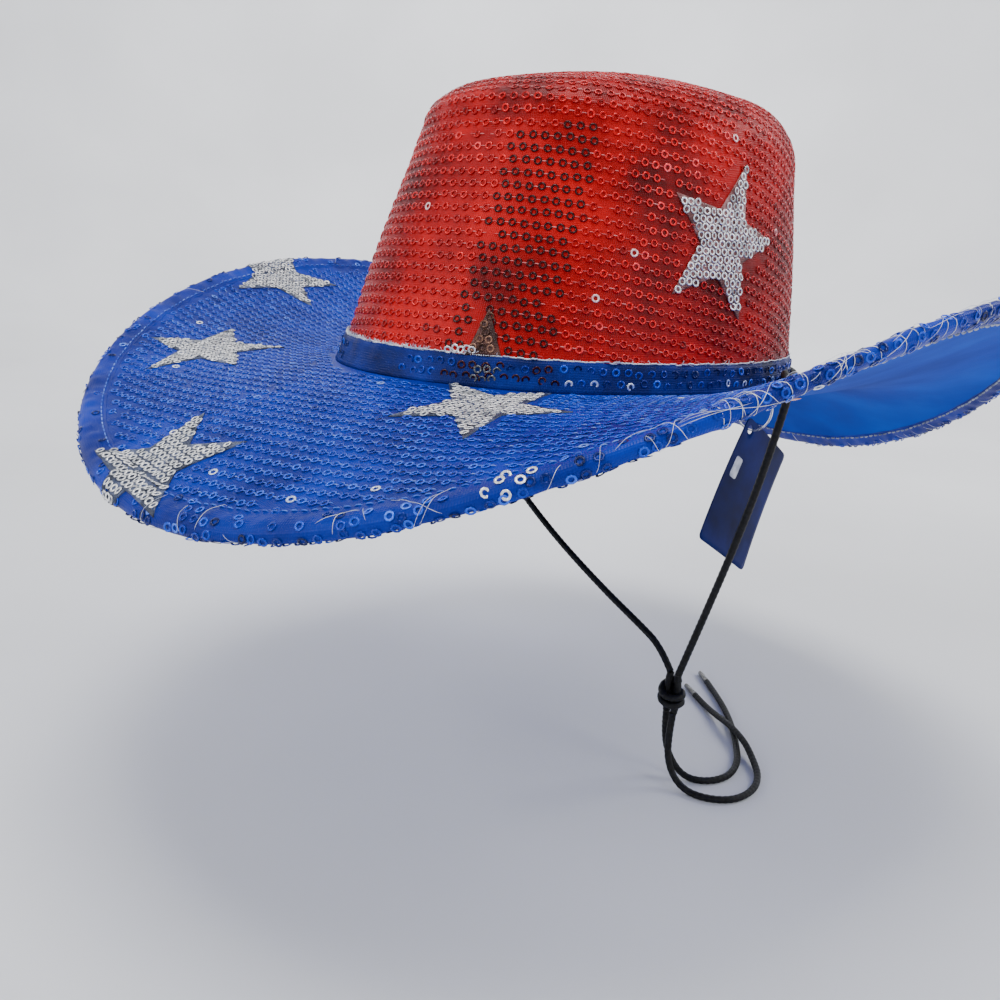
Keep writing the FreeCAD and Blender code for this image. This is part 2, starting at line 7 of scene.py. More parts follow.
# %% Load the frame
import math
import bpy
import numpy as np
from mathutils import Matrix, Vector


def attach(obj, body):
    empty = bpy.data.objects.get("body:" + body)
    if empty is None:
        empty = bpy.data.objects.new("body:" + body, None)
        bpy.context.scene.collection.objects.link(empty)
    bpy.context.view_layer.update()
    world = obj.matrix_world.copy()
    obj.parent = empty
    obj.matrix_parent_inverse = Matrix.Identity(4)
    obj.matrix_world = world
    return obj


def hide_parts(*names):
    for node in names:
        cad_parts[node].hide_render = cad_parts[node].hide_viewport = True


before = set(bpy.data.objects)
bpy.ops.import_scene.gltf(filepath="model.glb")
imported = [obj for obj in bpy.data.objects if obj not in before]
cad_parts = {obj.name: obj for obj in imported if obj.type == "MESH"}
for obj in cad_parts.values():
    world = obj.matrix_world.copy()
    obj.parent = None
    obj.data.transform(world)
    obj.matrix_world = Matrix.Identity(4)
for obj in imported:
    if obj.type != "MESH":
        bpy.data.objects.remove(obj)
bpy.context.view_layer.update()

random = np.random.default_rng(7)
print("frame nodes:", len(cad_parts))

# %% [markdown]
# ## The camera
# It looks from the wearer's front left, a little above the brim. The hat is modelled level, so the
# camera carries its tilt, a roll of about four degrees.

# %% Camera
camera_data = bpy.data.cameras.new("camera")
camera_data.lens = 34.11
camera_data.sensor_width = 36.0
camera = bpy.data.objects.new("camera", camera_data)
bpy.context.scene.collection.objects.link(camera)
CAMERA_PLACE = (0.2829, -0.2937, 0.0442)
CAMERA_TILT, CAMERA_ROLL, CAMERA_HEADING = 75.47, -3.65, 48.475
camera.location = CAMERA_PLACE
camera.rotation_euler = [math.radians(angle) for angle in (CAMERA_TILT, CAMERA_ROLL, CAMERA_HEADING)]
bpy.context.scene.camera = camera
print("camera at", tuple(round(x, 3) for x in camera.location))

# %% [markdown]
# ## The hat's own surfaces
# The brim is a flat ring whose edge curls up at the sides. The crown leans in as it climbs. Both are
# written with the same formulas as the CAD part, so each skin lies where its solid does.

# %% Brim and crown formulas
CROWN_BASE = (84.3, 103.0)
CROWN_TIP = (66.2, 81.4)
TIP_SETBACK = 17.7
CROWN_TOP = 103.0
BRIM_FLOOR = -2.6
CLOTH_TOP = 0.8
MID_LIFT = -0.9
SHOULDER = 24.0
EDGE = (180.0, 188.0)
EDGE_SHIFT = -6.0


def stack(x, y, z):
    """Points from three arrays of coordinates, spread to one shape."""
    return np.stack(np.broadcast_arrays(x, y, z), axis=-1).astype(float)


def unit(v):
    """v / |v|."""
    return v / np.maximum(np.linalg.norm(v, axis=-1, keepdims=True), 1e-9)


def crown_side(angle, outset, height):
    """x = (a + o) sin t, y = shift - (b + o) cos t, with a, b and shift linear in the height."""
    share = (height - BRIM_FLOOR) / (CROWN_TOP - BRIM_FLOOR)
    half_width = CROWN_BASE[0] + (CROWN_TIP[0] - CROWN_BASE[0]) * share + outset
    half_length = CROWN_BASE[1] + (CROWN_TIP[1] - CROWN_BASE[1]) * share + outset
    return stack(half_width * np.sin(angle), TIP_SETBACK * share - half_length * np.cos(angle), height)


def edge_height(angle):
    """h = 1.3 cos t - 39 cos 2t + 3.7 cos 3t - 3.4 sin 2t - 3.3 sin 3t."""
    return (1.3 * np.cos(angle) - 39.0 * np.cos(2 * angle) + 3.7 * np.cos(3 * angle)
            - 3.4 * np.sin(2 * angle) - 3.3 * np.sin(3 * angle))


def brim_point(angle, share, lift):
    """A straight line in plan from the crown to the edge; its height follows a cubic of the share."""
    root_x = (CROWN_BASE[0] + 0.1) * np.sin(angle)
    root_y = -(CROWN_BASE[1] + 0.1) * np.cos(angle)
    edge_x = EDGE[0] * np.sin(angle)
    edge_y = EDGE_SHIFT - EDGE[1] * np.cos(angle)
    rest = 1 - share
    profile = 0.36 * rest * rest * share + 1.56 * rest * share * share + share ** 3
    return stack(root_x + (edge_x - root_x) * share, root_y + (edge_y - root_y) * share,
                 edge_height(angle) * profile + lift)


def brim_width(angle):
    """Distance in plan from the crown to the edge."""
    return np.hypot((EDGE[0] - CROWN_BASE[0] - 0.1) * np.sin(angle),
                    EDGE_SHIFT - (EDGE[1] - CROWN_BASE[1] - 0.1) * np.cos(angle))


def brim_inverse(x, y):
    """The angle and share of a plan point, by halving the range of shares."""
    low = np.full(np.shape(x), -0.05)
    high = np.full(np.shape(x), 1.4)
    for _ in range(30):
        middle = (low + high) / 2
        a = CROWN_BASE[0] + 0.1 + (EDGE[0] - CROWN_BASE[0] - 0.1) * middle
        b = CROWN_BASE[1] + 0.1 + (EDGE[1] - CROWN_BASE[1] - 0.1) * middle
        beyond = (x / a) ** 2 + ((y - EDGE_SHIFT * middle) / b) ** 2 > 1
        low = np.where(beyond, middle, low)
        high = np.where(beyond, high, middle)
    return np.arctan2(x / a, -(y - EDGE_SHIFT * middle) / b), middle


# %% [markdown]
# ## The chin cord comes first
# The cord is 3 mm of round black braid. One run goes round the back of the crown on top of the brim;
# its two ends dive through the eyelets, meet in a knot under the wearer's left side, and two loose
# tails lie on the floor. The routes repeat the CAD points, and a NURBS line smooths them.

# %% Cord routes
EYELET_BACK = 12.0
EYELET_INSET = 14.0
EYELET_ANGLE = math.acos(-EYELET_BACK / CROWN_BASE[1])
EYELET_SHARE = EYELET_INSET / float(brim_width(EYELET_ANGLE))
KNOT_TOP = np.array([69.2, 4.9, -117.0])
KNOT_LENGTH = 17.0
KNOT_FOOT = KNOT_TOP - [0, 0, KNOT_LENGTH]


def eyelet_frame(side):
    """Where an eyelet sits, and its outward and upward directions."""
    here = brim_point(side * EYELET_ANGLE, EYELET_SHARE, 0.0)
    out = brim_point(side * EYELET_ANGLE, EYELET_SHARE + 0.02, 0.0) - here
    lean = math.atan2(out[2], math.hypot(out[0], out[1]))
    across = np.array([side * math.cos(lean), 0, math.sin(lean)])
    up = np.array([-side * math.sin(lean), 0, math.cos(lean)])
    return here, across, up


def eyelet_level(side, lift):
    """A point on an eyelet's axis, so far above the brim's middle."""
    here, _, up = eyelet_frame(side)
    return here + up * lift


def back_run(angle):
    """Beside the hat band, one cord radius above the stars."""
    beside = crown_side(angle, 3.2, 3.4)
    beside[..., 2] += brim_point(angle, 3.2 / brim_width(angle), 0.0)[..., 2]
    return beside


first_angle = EYELET_ANGLE + math.radians(14.0)
back_angles = np.linspace(first_angle, 2 * math.pi - first_angle, 19)
ROUTES = {
    "cord_back": [eyelet_level(1, BRIM_FLOOR), eyelet_level(1, 7.8), *back_run(back_angles),
                  eyelet_level(-1, 7.8), eyelet_level(-1, BRIM_FLOOR)],
    "cord_left": [eyelet_level(1, BRIM_FLOOR), (95.5, 11.2, -20), (88.5, 9.5, -52), (79.7, 7, -86),
                  KNOT_TOP + [2.0, 0, 0]],
    "cord_right": [eyelet_level(-1, BRIM_FLOOR), (-93.5, 11.2, -15), (-74, 11, -36), (-44, 10, -58),
                   (-10, 8, -78), (24, 7, -94), (47.5, 6, -103), (60.5, 5.4, -108.5),
                   KNOT_TOP - [2.0, 0, 0]],
    "cord_inner_tail": [KNOT_FOOT + [-2.2, 0.6, 0], (64.5, 9, -148), (67, 12.5, -160),
                        (75, 13, -165), (83, 19, -165), (85.5, 30, -165), (81, 43, -165),
                        (71, 56, -165), (57, 72, -165), (39, 88, -165), (22, 100, -165)],
    "cord_outer_tail": [KNOT_FOOT + [2.0, -0.6, 0], (70.2, 4, -148), (72.5, 5, -160),
                        (81, 4.5, -165), (91, 7.5, -165), (98, 16, -165), (98.5, 29, -165),
                        (93, 41, -165), (84, 49.5, -163.8), (75, 56, -161.6), (62, 63.5, -161.6),
                        (49, 70.5, -163.8), (38, 76.5, -165), (28, 82, -165)],
}


def smooth_line(name, route):
    """Read back, in millimetres, the points that a NURBS line through the route's corners follows."""
    curve = bpy.data.curves.new(name, "CURVE")
    curve.dimensions = "3D"
    curve.resolution_u = 16
    spline = curve.splines.new("NURBS")
    spline.points.add(len(route) - 1)
    for point, place in zip(spline.points, route):
        point.co = (*(np.asarray(place) / 1000), 1.0)
    spline.order_u = 3
    spline.use_endpoint_u = True
    spline.resolution_u = 16
    holder = bpy.data.objects.new(name, curve)
    bpy.context.scene.collection.objects.link(holder)
    line = bpy.data.meshes.new_from_object(holder)
    points = np.zeros(len(line.vertices) * 3)
    line.vertices.foreach_get("co", points)
    bpy.data.objects.remove(holder)
    return points.reshape(-1, 3) * 1000


def along(points):
    """Distance along a line at each of its points."""
    return np.concatenate([[0], np.cumsum(np.linalg.norm(np.diff(points, axis=0), axis=1))])


def resample(points, step):
    """The same line with evenly spaced points."""
    reach = along(points)
    places = np.linspace(0, reach[-1], max(int(reach[-1] / step), 2) + 1)
    return np.stack([np.interp(places, reach, points[:, axis]) for axis in range(3)], axis=1)


cord_lines = {name: resample(smooth_line(name, route), 0.5) for name, route in ROUTES.items()}
print({name: round(along(line)[-1], 1) for name, line in cord_lines.items()})

# %% [markdown]
# ## Materials
# One small function adds a node, and one builds a finish: a noise, or a per-piece value that mixes
# random tone with painted light, chooses the colour along a ramp, and a fine noise or a weave gives the
# bump. Sizes are given in millimetres.

# %% Material helpers


def linear(colour):
    """Linear RGBA from an sRGB hex colour."""
    values = [int(colour[i:i + 2], 16) / 255 for i in (1, 3, 5)]
    return [v / 12.92 if v <= 0.04045 else ((v + 0.055) / 1.055) ** 2.4 for v in values] + [1.0]


def add_node(tree, kind, settings=(), links=()):
    """Add a node. Settings name a property or an input, and links name an input and its source."""
    item = tree.nodes.new(kind)
    for name, value in dict(settings).items():
        if isinstance(name, str) and hasattr(item, name):
            setattr(item, name, value)
        else:
            item.inputs[name].default_value = value
    for name, source in dict(links).items():
        tree.links.new(source, item.inputs[name])
    return item


def maths(tree, kind, first, second):
    """A maths node; each side is a number or a socket."""
    item = add_node(tree, "ShaderNodeMath", {"operation": kind})
    for index, side in enumerate((first, second)):
        if isinstance(side, (int, float)):
            item.inputs[index].default_value = side
        else:
            tree.links.new(side, item.inputs[index])
    return item.outputs[0]


def finish(name, colours, grain, bump, shader=(), per_piece_light=False, weave=None, swing=1.0):
    """A Principled finish. grain is the size of the colour patches and bump is (size, depth)."""
    material = bpy.data.materials.new(name)
    material.use_nodes = True
    tree = material.node_tree
    tree.nodes.clear()
    place = add_node(tree, "ShaderNodeTexCoord").outputs["Object"]
    patches = add_node(tree, "ShaderNodeTexNoise", {"Scale": 1000 / grain, "Detail": 4.0},
                       {"Vector": place}).outputs["Fac"]
    centred = maths(tree, "SUBTRACT", patches, 0.5)
    # the per-piece value mixes random tone with painted light: low values paint dark reflections, high ones
    # glints
    if per_piece_light:
        tone_and_light = add_node(tree, "ShaderNodeAttribute", {"attribute_name": "tone_and_light"}).outputs["Fac"]
        pick = maths(tree, "ADD", tone_and_light, maths(tree, "MULTIPLY", centred, 0.35 * swing))
    else:
        pick = maths(tree, "ADD", maths(tree, "MULTIPLY", centred, 2.2 * swing), 0.5)
    ramp = add_node(tree, "ShaderNodeValToRGB", {}, {"Fac": pick})
    stops = ramp.color_ramp.elements
    while len(stops) < len(colours):
        stops.new(0.5)
    for stop, (position, colour) in zip(stops, colours):
        stop.position = position
        stop.color = linear(colour)
    fine = add_node(tree, "ShaderNodeTexNoise", {"Scale": 1000 / bump[0], "Detail": 3.0},
                    {"Vector": place}).outputs["Fac"]
    height = fine
    if weave:  # a wave texture of Scale 1 repeats every 0.314 m, and weave is its repeat in mm
        sheet = add_node(tree, "ShaderNodeTexCoord").outputs["UV"]
        for direction in ("X", "Y"):
            wave = add_node(tree, "ShaderNodeTexWave",
                            {"bands_direction": direction, "Scale": 314 / weave}, {"Vector": sheet})
            height = maths(tree, "ADD", height, wave.outputs["Fac"])
    relief = add_node(tree, "ShaderNodeBump", {"Distance": bump[1] / 1000, "Strength": 0.8},
                      {"Height": height})
    base = add_node(tree, "ShaderNodeBsdfPrincipled", dict(shader),
                    {"Base Color": ramp.outputs["Color"], "Normal": relief.outputs["Normal"]})
    add_node(tree, "ShaderNodeOutputMaterial", {}, {"Surface": base.outputs["BSDF"]})
    return material


# %% Finishes
# Tricot is a fine warp knit, printed here with glossy foil. Sequins are sewn to it, and its ribs,
# about 0.8 mm apart, break the gloss into a soft sheen.
red_cloth = finish("red_tricot", [(0.15, "#5c0003"), (0.45, "#9a0006"), (0.85, "#c80008")], 30, (0.5, 0.05),
                   {"Roughness": 0.4, "Specular IOR Level": 0.16}, weave=0.8)
blue_cloth = finish("blue_tricot", [(0.15, "#001874"), (0.5, "#002290"), (0.85, "#022eaa")], 26, (0.5, 0.05),
                    {"Roughness": 0.42, "Specular IOR Level": 0.16}, weave=0.8)
# the same knit folded double for the hat band, painted darker as shade and the brim's dark reflection
band_cloth_painted_shade = finish("blue_tricot_band_painted_shade", [(0.15, "#000c40"), (0.5, "#001868"), (0.85, "#02288c")], 20,
                    (0.5, 0.05), {"Roughness": 0.45, "Specular IOR Level": 0.14}, weave=0.8)
# brushed knit on the underside: the raised fibres scatter the light, so it looks even and matt
brushed_blue = finish("blue_brushed_knit", [(0.1, "#002c94"), (0.5, "#003fb4"), (0.9, "#0052cc")], 60,
                      (0.35, 0.05), {"Roughness": 0.8, "Specular IOR Level": 0.08, "Sheen Weight": 0.02})
# sequins stamped from tinted plastic film: a smooth face that flashes from dark to almost white; the
# ramp paints that flash into the colour, from a dark painted reflection to a near-white painted glint
red_foil = finish("red_sequin_foil", [(0.0, "#240001"), (0.25, "#440004"), (0.5, "#a80008"),
                                      (0.75, "#e00810"), (0.92, "#ff4a50"), (1.0, "#ffd9d6")], 3, (1.2, 0.03),
                  {"Roughness": 0.22, "Metallic": 0.3, "Specular IOR Level": 0.35}, per_piece_light=True)
blue_foil = finish("blue_sequin_foil", [(0.0, "#000b38"), (0.25, "#00186c"), (0.5, "#0838bc"),
                                        (0.75, "#2a62ee"), (0.92, "#7fa6ff"), (1.0, "#eef4ff")], 3,
                   (1.2, 0.03),
                   {"Roughness": 0.22, "Metallic": 0.3, "Specular IOR Level": 0.35}, per_piece_light=True)
silver_foil = finish("silver_sequin_foil", [(0.0, "#3d4047"), (0.35, "#8d9196"), (0.65, "#d6d8da"),
                                            (1.0, "#ffffff")], 3, (1.2, 0.03),
                     {"Roughness": 0.25, "Metallic": 0.5, "Specular IOR Level": 0.6}, per_piece_light=True)
# the star at the front is silver, painted dark brown as shade, with little more than a dull glow
star_foil_painted_shade = finish("star_sequin_foil_painted_shade", [(0.0, "#140805"), (0.5, "#2c1610"), (0.8, "#50301f"),
                                          (1.0, "#8a6450")], 3, (1.2, 0.03),
                   {"Roughness": 0.3, "Metallic": 0.5}, per_piece_light=True)
# silvery film cloth between the sequins of a star: its colour is a painted reflection, the red of the
# crown or the blue of the brim
film_cloth_red_reflection = finish("film_cloth_painted_red_reflection", [(0.1, "#4a2322"), (0.5, "#7d4a48"), (0.9, "#b38886")], 5,
                    (0.5, 0.06), {"Roughness": 0.4, "Metallic": 0.2}, weave=0.8)
film_cloth_blue_reflection = finish("film_cloth_painted_blue_reflection", [(0.1, "#141b2e"), (0.5, "#2c3650"), (0.9, "#566080")], 5,
                      (0.5, 0.06), {"Roughness": 0.4, "Metallic": 0.2}, weave=0.8)
# film cloth of the front star, painted dark brown as shade
star_cloth_painted_shade = finish("film_cloth_painted_shade", [(0.1, "#2a100b"), (0.5, "#43201a"), (0.9, "#5e352b")], 6,
                    (0.5, 0.06), {"Roughness": 0.45, "Metallic": 0.2}, weave=0.8)
# polyester sewing threads: twisted filament, half glossy
pink_thread = finish("pink_thread", [(0.1, "#b0282c"), (0.5, "#d8585a"), (0.9, "#f09a98")], 9, (0.2, 0.03),
                     {"Roughness": 0.55})
blue_thread = finish("blue_thread", [(0.1, "#1440b8"), (0.5, "#3a68dc"), (0.9, "#86a4f2")], 9, (0.2, 0.03),
                     {"Roughness": 0.55})
white_thread = finish("white_thread", [(0.1, "#a9b4cf"), (0.5, "#dfe4f0"), (0.9, "#ffffff")], 7, (0.2, 0.03),
                      {"Roughness": 0.6})
grey_thread = finish("grey_thread", [(0.1, "#5f6777"), (0.5, "#9aa2b0"), (0.9, "#c9ced6")], 6, (0.2, 0.03),
                     {"Roughness": 0.55})
# satin tape inside the head opening, and a thin dark woven lining above it
tape = finish("blue_tape", [(0.1, "#101c55"), (0.5, "#182a78"), (0.9, "#27409c")], 12, (0.4, 0.05),
              {"Roughness": 0.5, "Sheen Weight": 0.3}, weave=0.7)
lining = finish("dark_lining", [(0.1, "#14151b"), (0.5, "#22242d"), (0.9, "#343744")], 14, (0.4, 0.05),
                {"Roughness": 0.7}, weave=0.6)
# pressed white felt: short fibres, no gloss at all
felt = finish("white_felt", [(0.1, "#cfcdc6"), (0.5, "#dedcd6"), (0.9, "#ecebe6")], 4, (0.4, 0.15),
              {"Roughness": 0.95})
# drawn steel: bright, with soft highlights
steel = finish("bright_steel", [(0.1, "#8a8d92"), (0.5, "#a6a9ad"), (0.9, "#bfc2c6")], 2, (0.2, 0.01),
               {"Roughness": 0.35, "Metallic": 1.0})
# copper-pink plating on pressed eyelets, smooth and bright
rose_metal = finish("rose_metal", [(0.1, "#b06a66"), (0.5, "#d98d88"), (0.9, "#efb3ac")], 2.5, (0.3, 0.02),
                    {"Roughness": 0.25, "Metallic": 1.0})
# black polyester braid, near matt, and its melted ends, which set hard and glossy
braid = finish("black_braid", [(0.1, "#020203"), (0.5, "#08080a"), (0.9, "#18181c")], 1.2, (0.25, 0.08),
               {"Roughness": 0.55, "Specular IOR Level": 0.25})
melted = finish("melted_cord_end", [(0.1, "#060607"), (0.5, "#101012"), (0.9, "#1d1d21")], 2, (0.8, 0.05),
                {"Roughness": 0.25, "Coat Weight": 0.5})
# navy card under a thin varnish, with a patch of pale print
card = finish("navy_card", [(0.1, "#020a34"), (0.5, "#06124c"), (0.9, "#0c1c62")], 20, (3.0, 0.03),
              {"Roughness": 0.45, "Specular IOR Level": 0.12})
card_patch = finish("pale_card_print", [(0.1, "#9aa0b2"), (0.5, "#b9bdca"), (0.9, "#d9dbe2")], 3, (1.0, 0.02),
                    {"Roughness": 0.45})
# clear nylon line: light goes through it and its edges glint
nylon = finish("clear_nylon", [(0.1, "#e3e6ea"), (0.5, "#f2f4f6"), (0.9, "#ffffff")], 4, (1.5, 0.01),
               {"Roughness": 0.12, "Transmission Weight": 0.85, "IOR": 1.45})
# matt background paper
paper = finish("studio_paper", [(0.1, "#dcdde0"), (0.5, "#e2e3e6"), (0.9, "#e8e9ec")], 400, (2.0, 0.02),
               {"Roughness": 0.9})
print("materials:", len(bpy.data.materials))

# %% [markdown]
# ## Mesh makers
# A grid of points becomes one mesh, a small shape can be stamped many times, and a line can be given
# a round section. Everything works on whole arrays.

# %% Mesh helpers


def mesh_object(name, points, quads, material, uv=None, tone_and_light=None, triangles=None, body="hat"):
    """One mesh in metres from points in millimetres and rows of corner numbers."""
    quads = np.asarray(quads, np.int32).reshape(-1, 4)
    triangles = np.zeros((0, 3), np.int32) if triangles is None else np.asarray(triangles, np.int32)
    corners = np.concatenate([quads.ravel(), triangles.ravel()])
    starts = np.concatenate([4 * np.arange(len(quads)), 4 * len(quads) + 3 * np.arange(len(triangles))])
    mesh = bpy.data.meshes.new(name)
    points = np.asarray(points, float).reshape(-1, 3)
    mesh.vertices.add(len(points))
    mesh.vertices.foreach_set("co", (points / 1000).astype(np.float32).ravel())
    mesh.loops.add(len(corners))
    mesh.loops.foreach_set("vertex_index", corners.astype(np.int32))
    mesh.polygons.add(len(starts))
    mesh.polygons.foreach_set("loop_start", starts.astype(np.int32))
    mesh.update(calc_edges=True)
    if uv is not None:
        layer = mesh.uv_layers.new(name="sheet")
        layer.data.foreach_set("uv", (np.asarray(uv).reshape(-1, 2)[corners] / 1000).ravel())
    if tone_and_light is not None:
        layer = mesh.attributes.new("tone_and_light", "FLOAT", "POINT")
        layer.data.foreach_set("value", np.asarray(tone_and_light, np.float32).ravel())
    mesh.shade_smooth()
    mesh.materials.append(material)
    piece = bpy.data.objects.new(name, mesh)
    bpy.context.scene.collection.objects.link(piece)
    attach(piece, body)
    print(f"{name}: {2 * len(quads) + len(triangles)} triangles")
    return piece


def grid_faces(rows, columns, loop_rows=False, loop_columns=False, flip=False):
    """Corner numbers of a grid's quads; a looped direction joins its last line to its first."""
    row = np.arange(rows if loop_rows else rows - 1)[:, None]
    column = np.arange(columns if loop_columns else columns - 1)[None, :]
    after_row = (row + 1) % rows
    after_column = (column + 1) % columns
    corners = [row * columns + column, after_row * columns + column,
               after_row * columns + after_column, row * columns + after_column]
    faces = np.stack(np.broadcast_arrays(*corners), axis=-1).reshape(-1, 4)
    return faces[:, ::-1] if flip else faces


def frame_at(surface, a, b, step_a, step_b):
    """A surface's point, its direction along a, and its normal, from small steps of both parameters."""
    here = surface(a, b)
    run_a = unit(surface(a + step_a, b) - surface(a - step_a, b))
    run_b = unit(surface(a, b + step_b) - surface(a, b - step_b))
    return here, run_a, unit(np.cross(run_a, run_b))


def stamp(name, centres, runs, normals, shape, faces, material, tone_and_light_values):
    """Copies of one small shape: p = c + x run + y (normal x run) + z normal."""
    runs = unit(runs - normals * np.sum(runs * normals, axis=-1, keepdims=True))
    sides = np.cross(normals, runs)
    points = (centres[:, None] + shape[None, :, 0:1] * runs[:, None] + shape[None, :, 1:2] * sides[:, None]
              + shape[None, :, 2:3] * normals[:, None])
    count = len(shape)
    quads = (np.arange(len(centres))[:, None, None] * count + faces[None]).reshape(-1, 4)
    return mesh_object(name, points, quads, material, tone_and_light=np.repeat(tone_and_light_values, count))


def tube(name, line, radius, material, sides=20, relief=None, body="hat"):
    """A round section carried along a line without twisting; relief(turn, distance) adds to the radius."""
    runs = unit(np.gradient(line, axis=0))
    reference = np.zeros_like(runs)
    side = unit(np.cross(runs[0], [0.3, 0.9, 0.2]))
    for index, run in enumerate(runs):
        side = unit(side - run * side.dot(run))
        reference[index] = side
    other = np.cross(runs, reference)
    turn = np.linspace(0, 2 * np.pi, sides, endpoint=False)
    reach = along(line)
    size = np.broadcast_to(np.asarray(radius, float).reshape(-1, 1), (len(line), sides)).copy()
    if relief is not None:
        size += relief(turn[None, :], reach[:, None])
    rings = (line[:, None] + size[..., None] * (np.cos(turn)[None, :, None] * reference[:, None]
                                                + np.sin(turn)[None, :, None] * other[:, None]))
    points = np.concatenate([rings.reshape(-1, 3), line[:1], line[-1:]])
    quads = grid_faces(len(line), sides, loop_columns=True, flip=True)
    first = np.arange(sides)
    after = (first + 1) % sides
    last = (len(line) - 1) * sides
    caps = np.concatenate([
        np.stack([first, after, np.full(sides, len(points) - 2)], axis=1),
        np.stack([last + after, last + first, np.full(sides, len(points) - 1)], axis=1)])
    return mesh_object(name, points, quads, material, triangles=caps, body=body)


def threads(name, paths, radius, material, sides=4):
    """Many thin round threads at once; each tapers to a point at both ends."""
    runs = unit(np.gradient(paths, axis=1))
    side = unit(np.cross(runs, unit(np.array([0.31, 0.22, 0.92]))))
    other = np.cross(runs, side)
    turn = np.linspace(0, 2 * np.pi, sides, endpoint=False)
    count, stations = paths.shape[:2]
    size = np.full(stations, radius)
    size[0] = size[-1] = 0.15 * radius
    points = (paths[:, :, None] + size[None, :, None, None]
              * (np.cos(turn)[None, None, :, None] * side[:, :, None]
                 + np.sin(turn)[None, None, :, None] * other[:, :, None]))
    faces = grid_faces(stations, sides, loop_columns=True, flip=True)
    quads = (np.arange(count)[:, None, None] * stations * sides + faces[None]).reshape(-1, 4)
    return mesh_object(name, points, quads, material)


# %% [markdown]
# ## Crown cloth
# The crown is a leaning wall, a rounded shoulder and a shallow domed tip. A single function climbs
# from the base to the middle of the tip, so the cloth and its sequins agree everywhere. Near the
# front of the shoulder the cloth stands out in a small ledge above a crease.

# %% Crown surface
CROWN_TURN = np.linspace(0, 2 * np.pi, 721)
base_ring = crown_side(CROWN_TURN, 0.0, BRIM_FLOOR)
BASE_ARC = along(base_ring)
DOME_AIM = 19.4
DOME_EASE = 6.2
LINING_DROP = 2.0


def crown_section(angle, sink=0.0):
    """Base point, wall and inward directions, bend, and lengths of the crown's section at an angle."""
    angle = np.asarray(angle, float)
    base = crown_side(angle, -sink, BRIM_FLOOR)
    corner = crown_side(angle, -sink, CROWN_TOP - sink)
    centre = np.array([0.0, TIP_SETBACK, CROWN_TOP + DOME_AIM - sink])
    wall = unit(corner - base)
    inward = unit(centre - corner)
    across = unit(inward - wall * np.sum(inward * wall, axis=-1, keepdims=True))
    turn = np.arccos(np.clip(np.sum(inward * wall, axis=-1), -1, 1))
    tangent = (SHOULDER - sink) * np.tan(turn / 2)
    wall_length = np.linalg.norm(corner - base, axis=-1) - tangent
    top_length = np.linalg.norm(centre - corner, axis=-1) - tangent
    return base, wall, inward, across, turn, tangent, wall_length, top_length


def crown_at(angle, climb, sink=0.0):
    """Wall, then an arc of the shoulder's radius, then a run that eases level at the tip's centre."""
    angle, climb = np.broadcast_arrays(np.asarray(angle, float), np.asarray(climb, float))
    base, wall, inward, across, turn, tangent, wall_length, top_length = crown_section(angle, sink)
    radius = SHOULDER - sink
    bend = np.clip((climb - wall_length) / radius, 0, turn)
    past = np.clip(climb - wall_length - radius * turn, 0, top_length)
    point = (base + wall * np.minimum(climb, wall_length)[..., None]
             + radius * (np.sin(bend)[..., None] * wall + (1 - np.cos(bend))[..., None] * across)
             + inward * past[..., None])
    ease = DOME_EASE * (past / top_length) ** 2.5 + LINING_DROP * np.minimum(past / 6, 1) * (sink > 0)
    swell = 0.35 * np.sin(3 * angle + climb / 19) + 0.3 * np.sin(5 * angle - climb / 13 + 1)
    front = np.exp(-((angle - 0.1) / 0.55) ** 2)
    ledge = front * (2.0 * np.exp(-((climb - wall_length - 7) / 5.0) ** 2)
                     - 0.5 * np.exp(-((climb - wall_length + 1) / 2.0) ** 2))
    out = unit(np.cross(stack(np.cos(angle), np.sin(angle), 0 * angle), wall))
    fade = np.clip(1 - past / 10, 0, 1)
    swell = np.maximum(swell + ledge, -0.4) * fade * (sink == 0)
    return point + out * swell[..., None] - stack(0, 0, ease)


def crown_length(angle, sink=0.0):
    """Climb from the base to the middle of the tip."""
    turn, _, wall_length, top_length = crown_section(angle, sink)[4:]
    return wall_length + (SHOULDER - sink) * turn + top_length


def crown_skin(name, sink, material, first, flip, nodes):
    """The crown as one grid that closes on a point at the tip's middle."""
    turns = np.linspace(-np.pi, np.pi, 360, endpoint=False)
    shares = np.concatenate([np.linspace(0, 0.5, 40), np.linspace(0.5, 1, 60)[1:]])
    climb = first + (crown_length(turns, sink)[None, :] - first) * shares[:, None]
    points = crown_at(turns[None, :], climb, sink)
    points[-1] = points[-1].mean(axis=0)
    arc = np.interp(np.mod(turns, 2 * np.pi), CROWN_TURN, BASE_ARC)
    uv = np.stack(np.broadcast_arrays(arc[None, :], climb), axis=-1)
    faces = grid_faces(len(shares), len(turns), loop_columns=True, flip=not flip)
    piece = mesh_object(name, points, faces, material, uv=uv)
    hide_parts(*nodes)
    return piece


crown_cloth = crown_skin("crown_cloth", 0.0, red_cloth, 0.0, False, ["crown_side_cloth", "crown_tip_cloth"])
crown_inside = crown_skin("crown_lining_cloth", 4.0, lining, 2.0, True, ["crown_lining"])

# %% [markdown]
# ## Brim cloth, underside and hem
# The top cloth and the brushed underside cover a stiff sheet. The edge is rolled over a wire, so its
# section is a flat loop with a round nose. The cloth puckers where it is gathered into the hem.

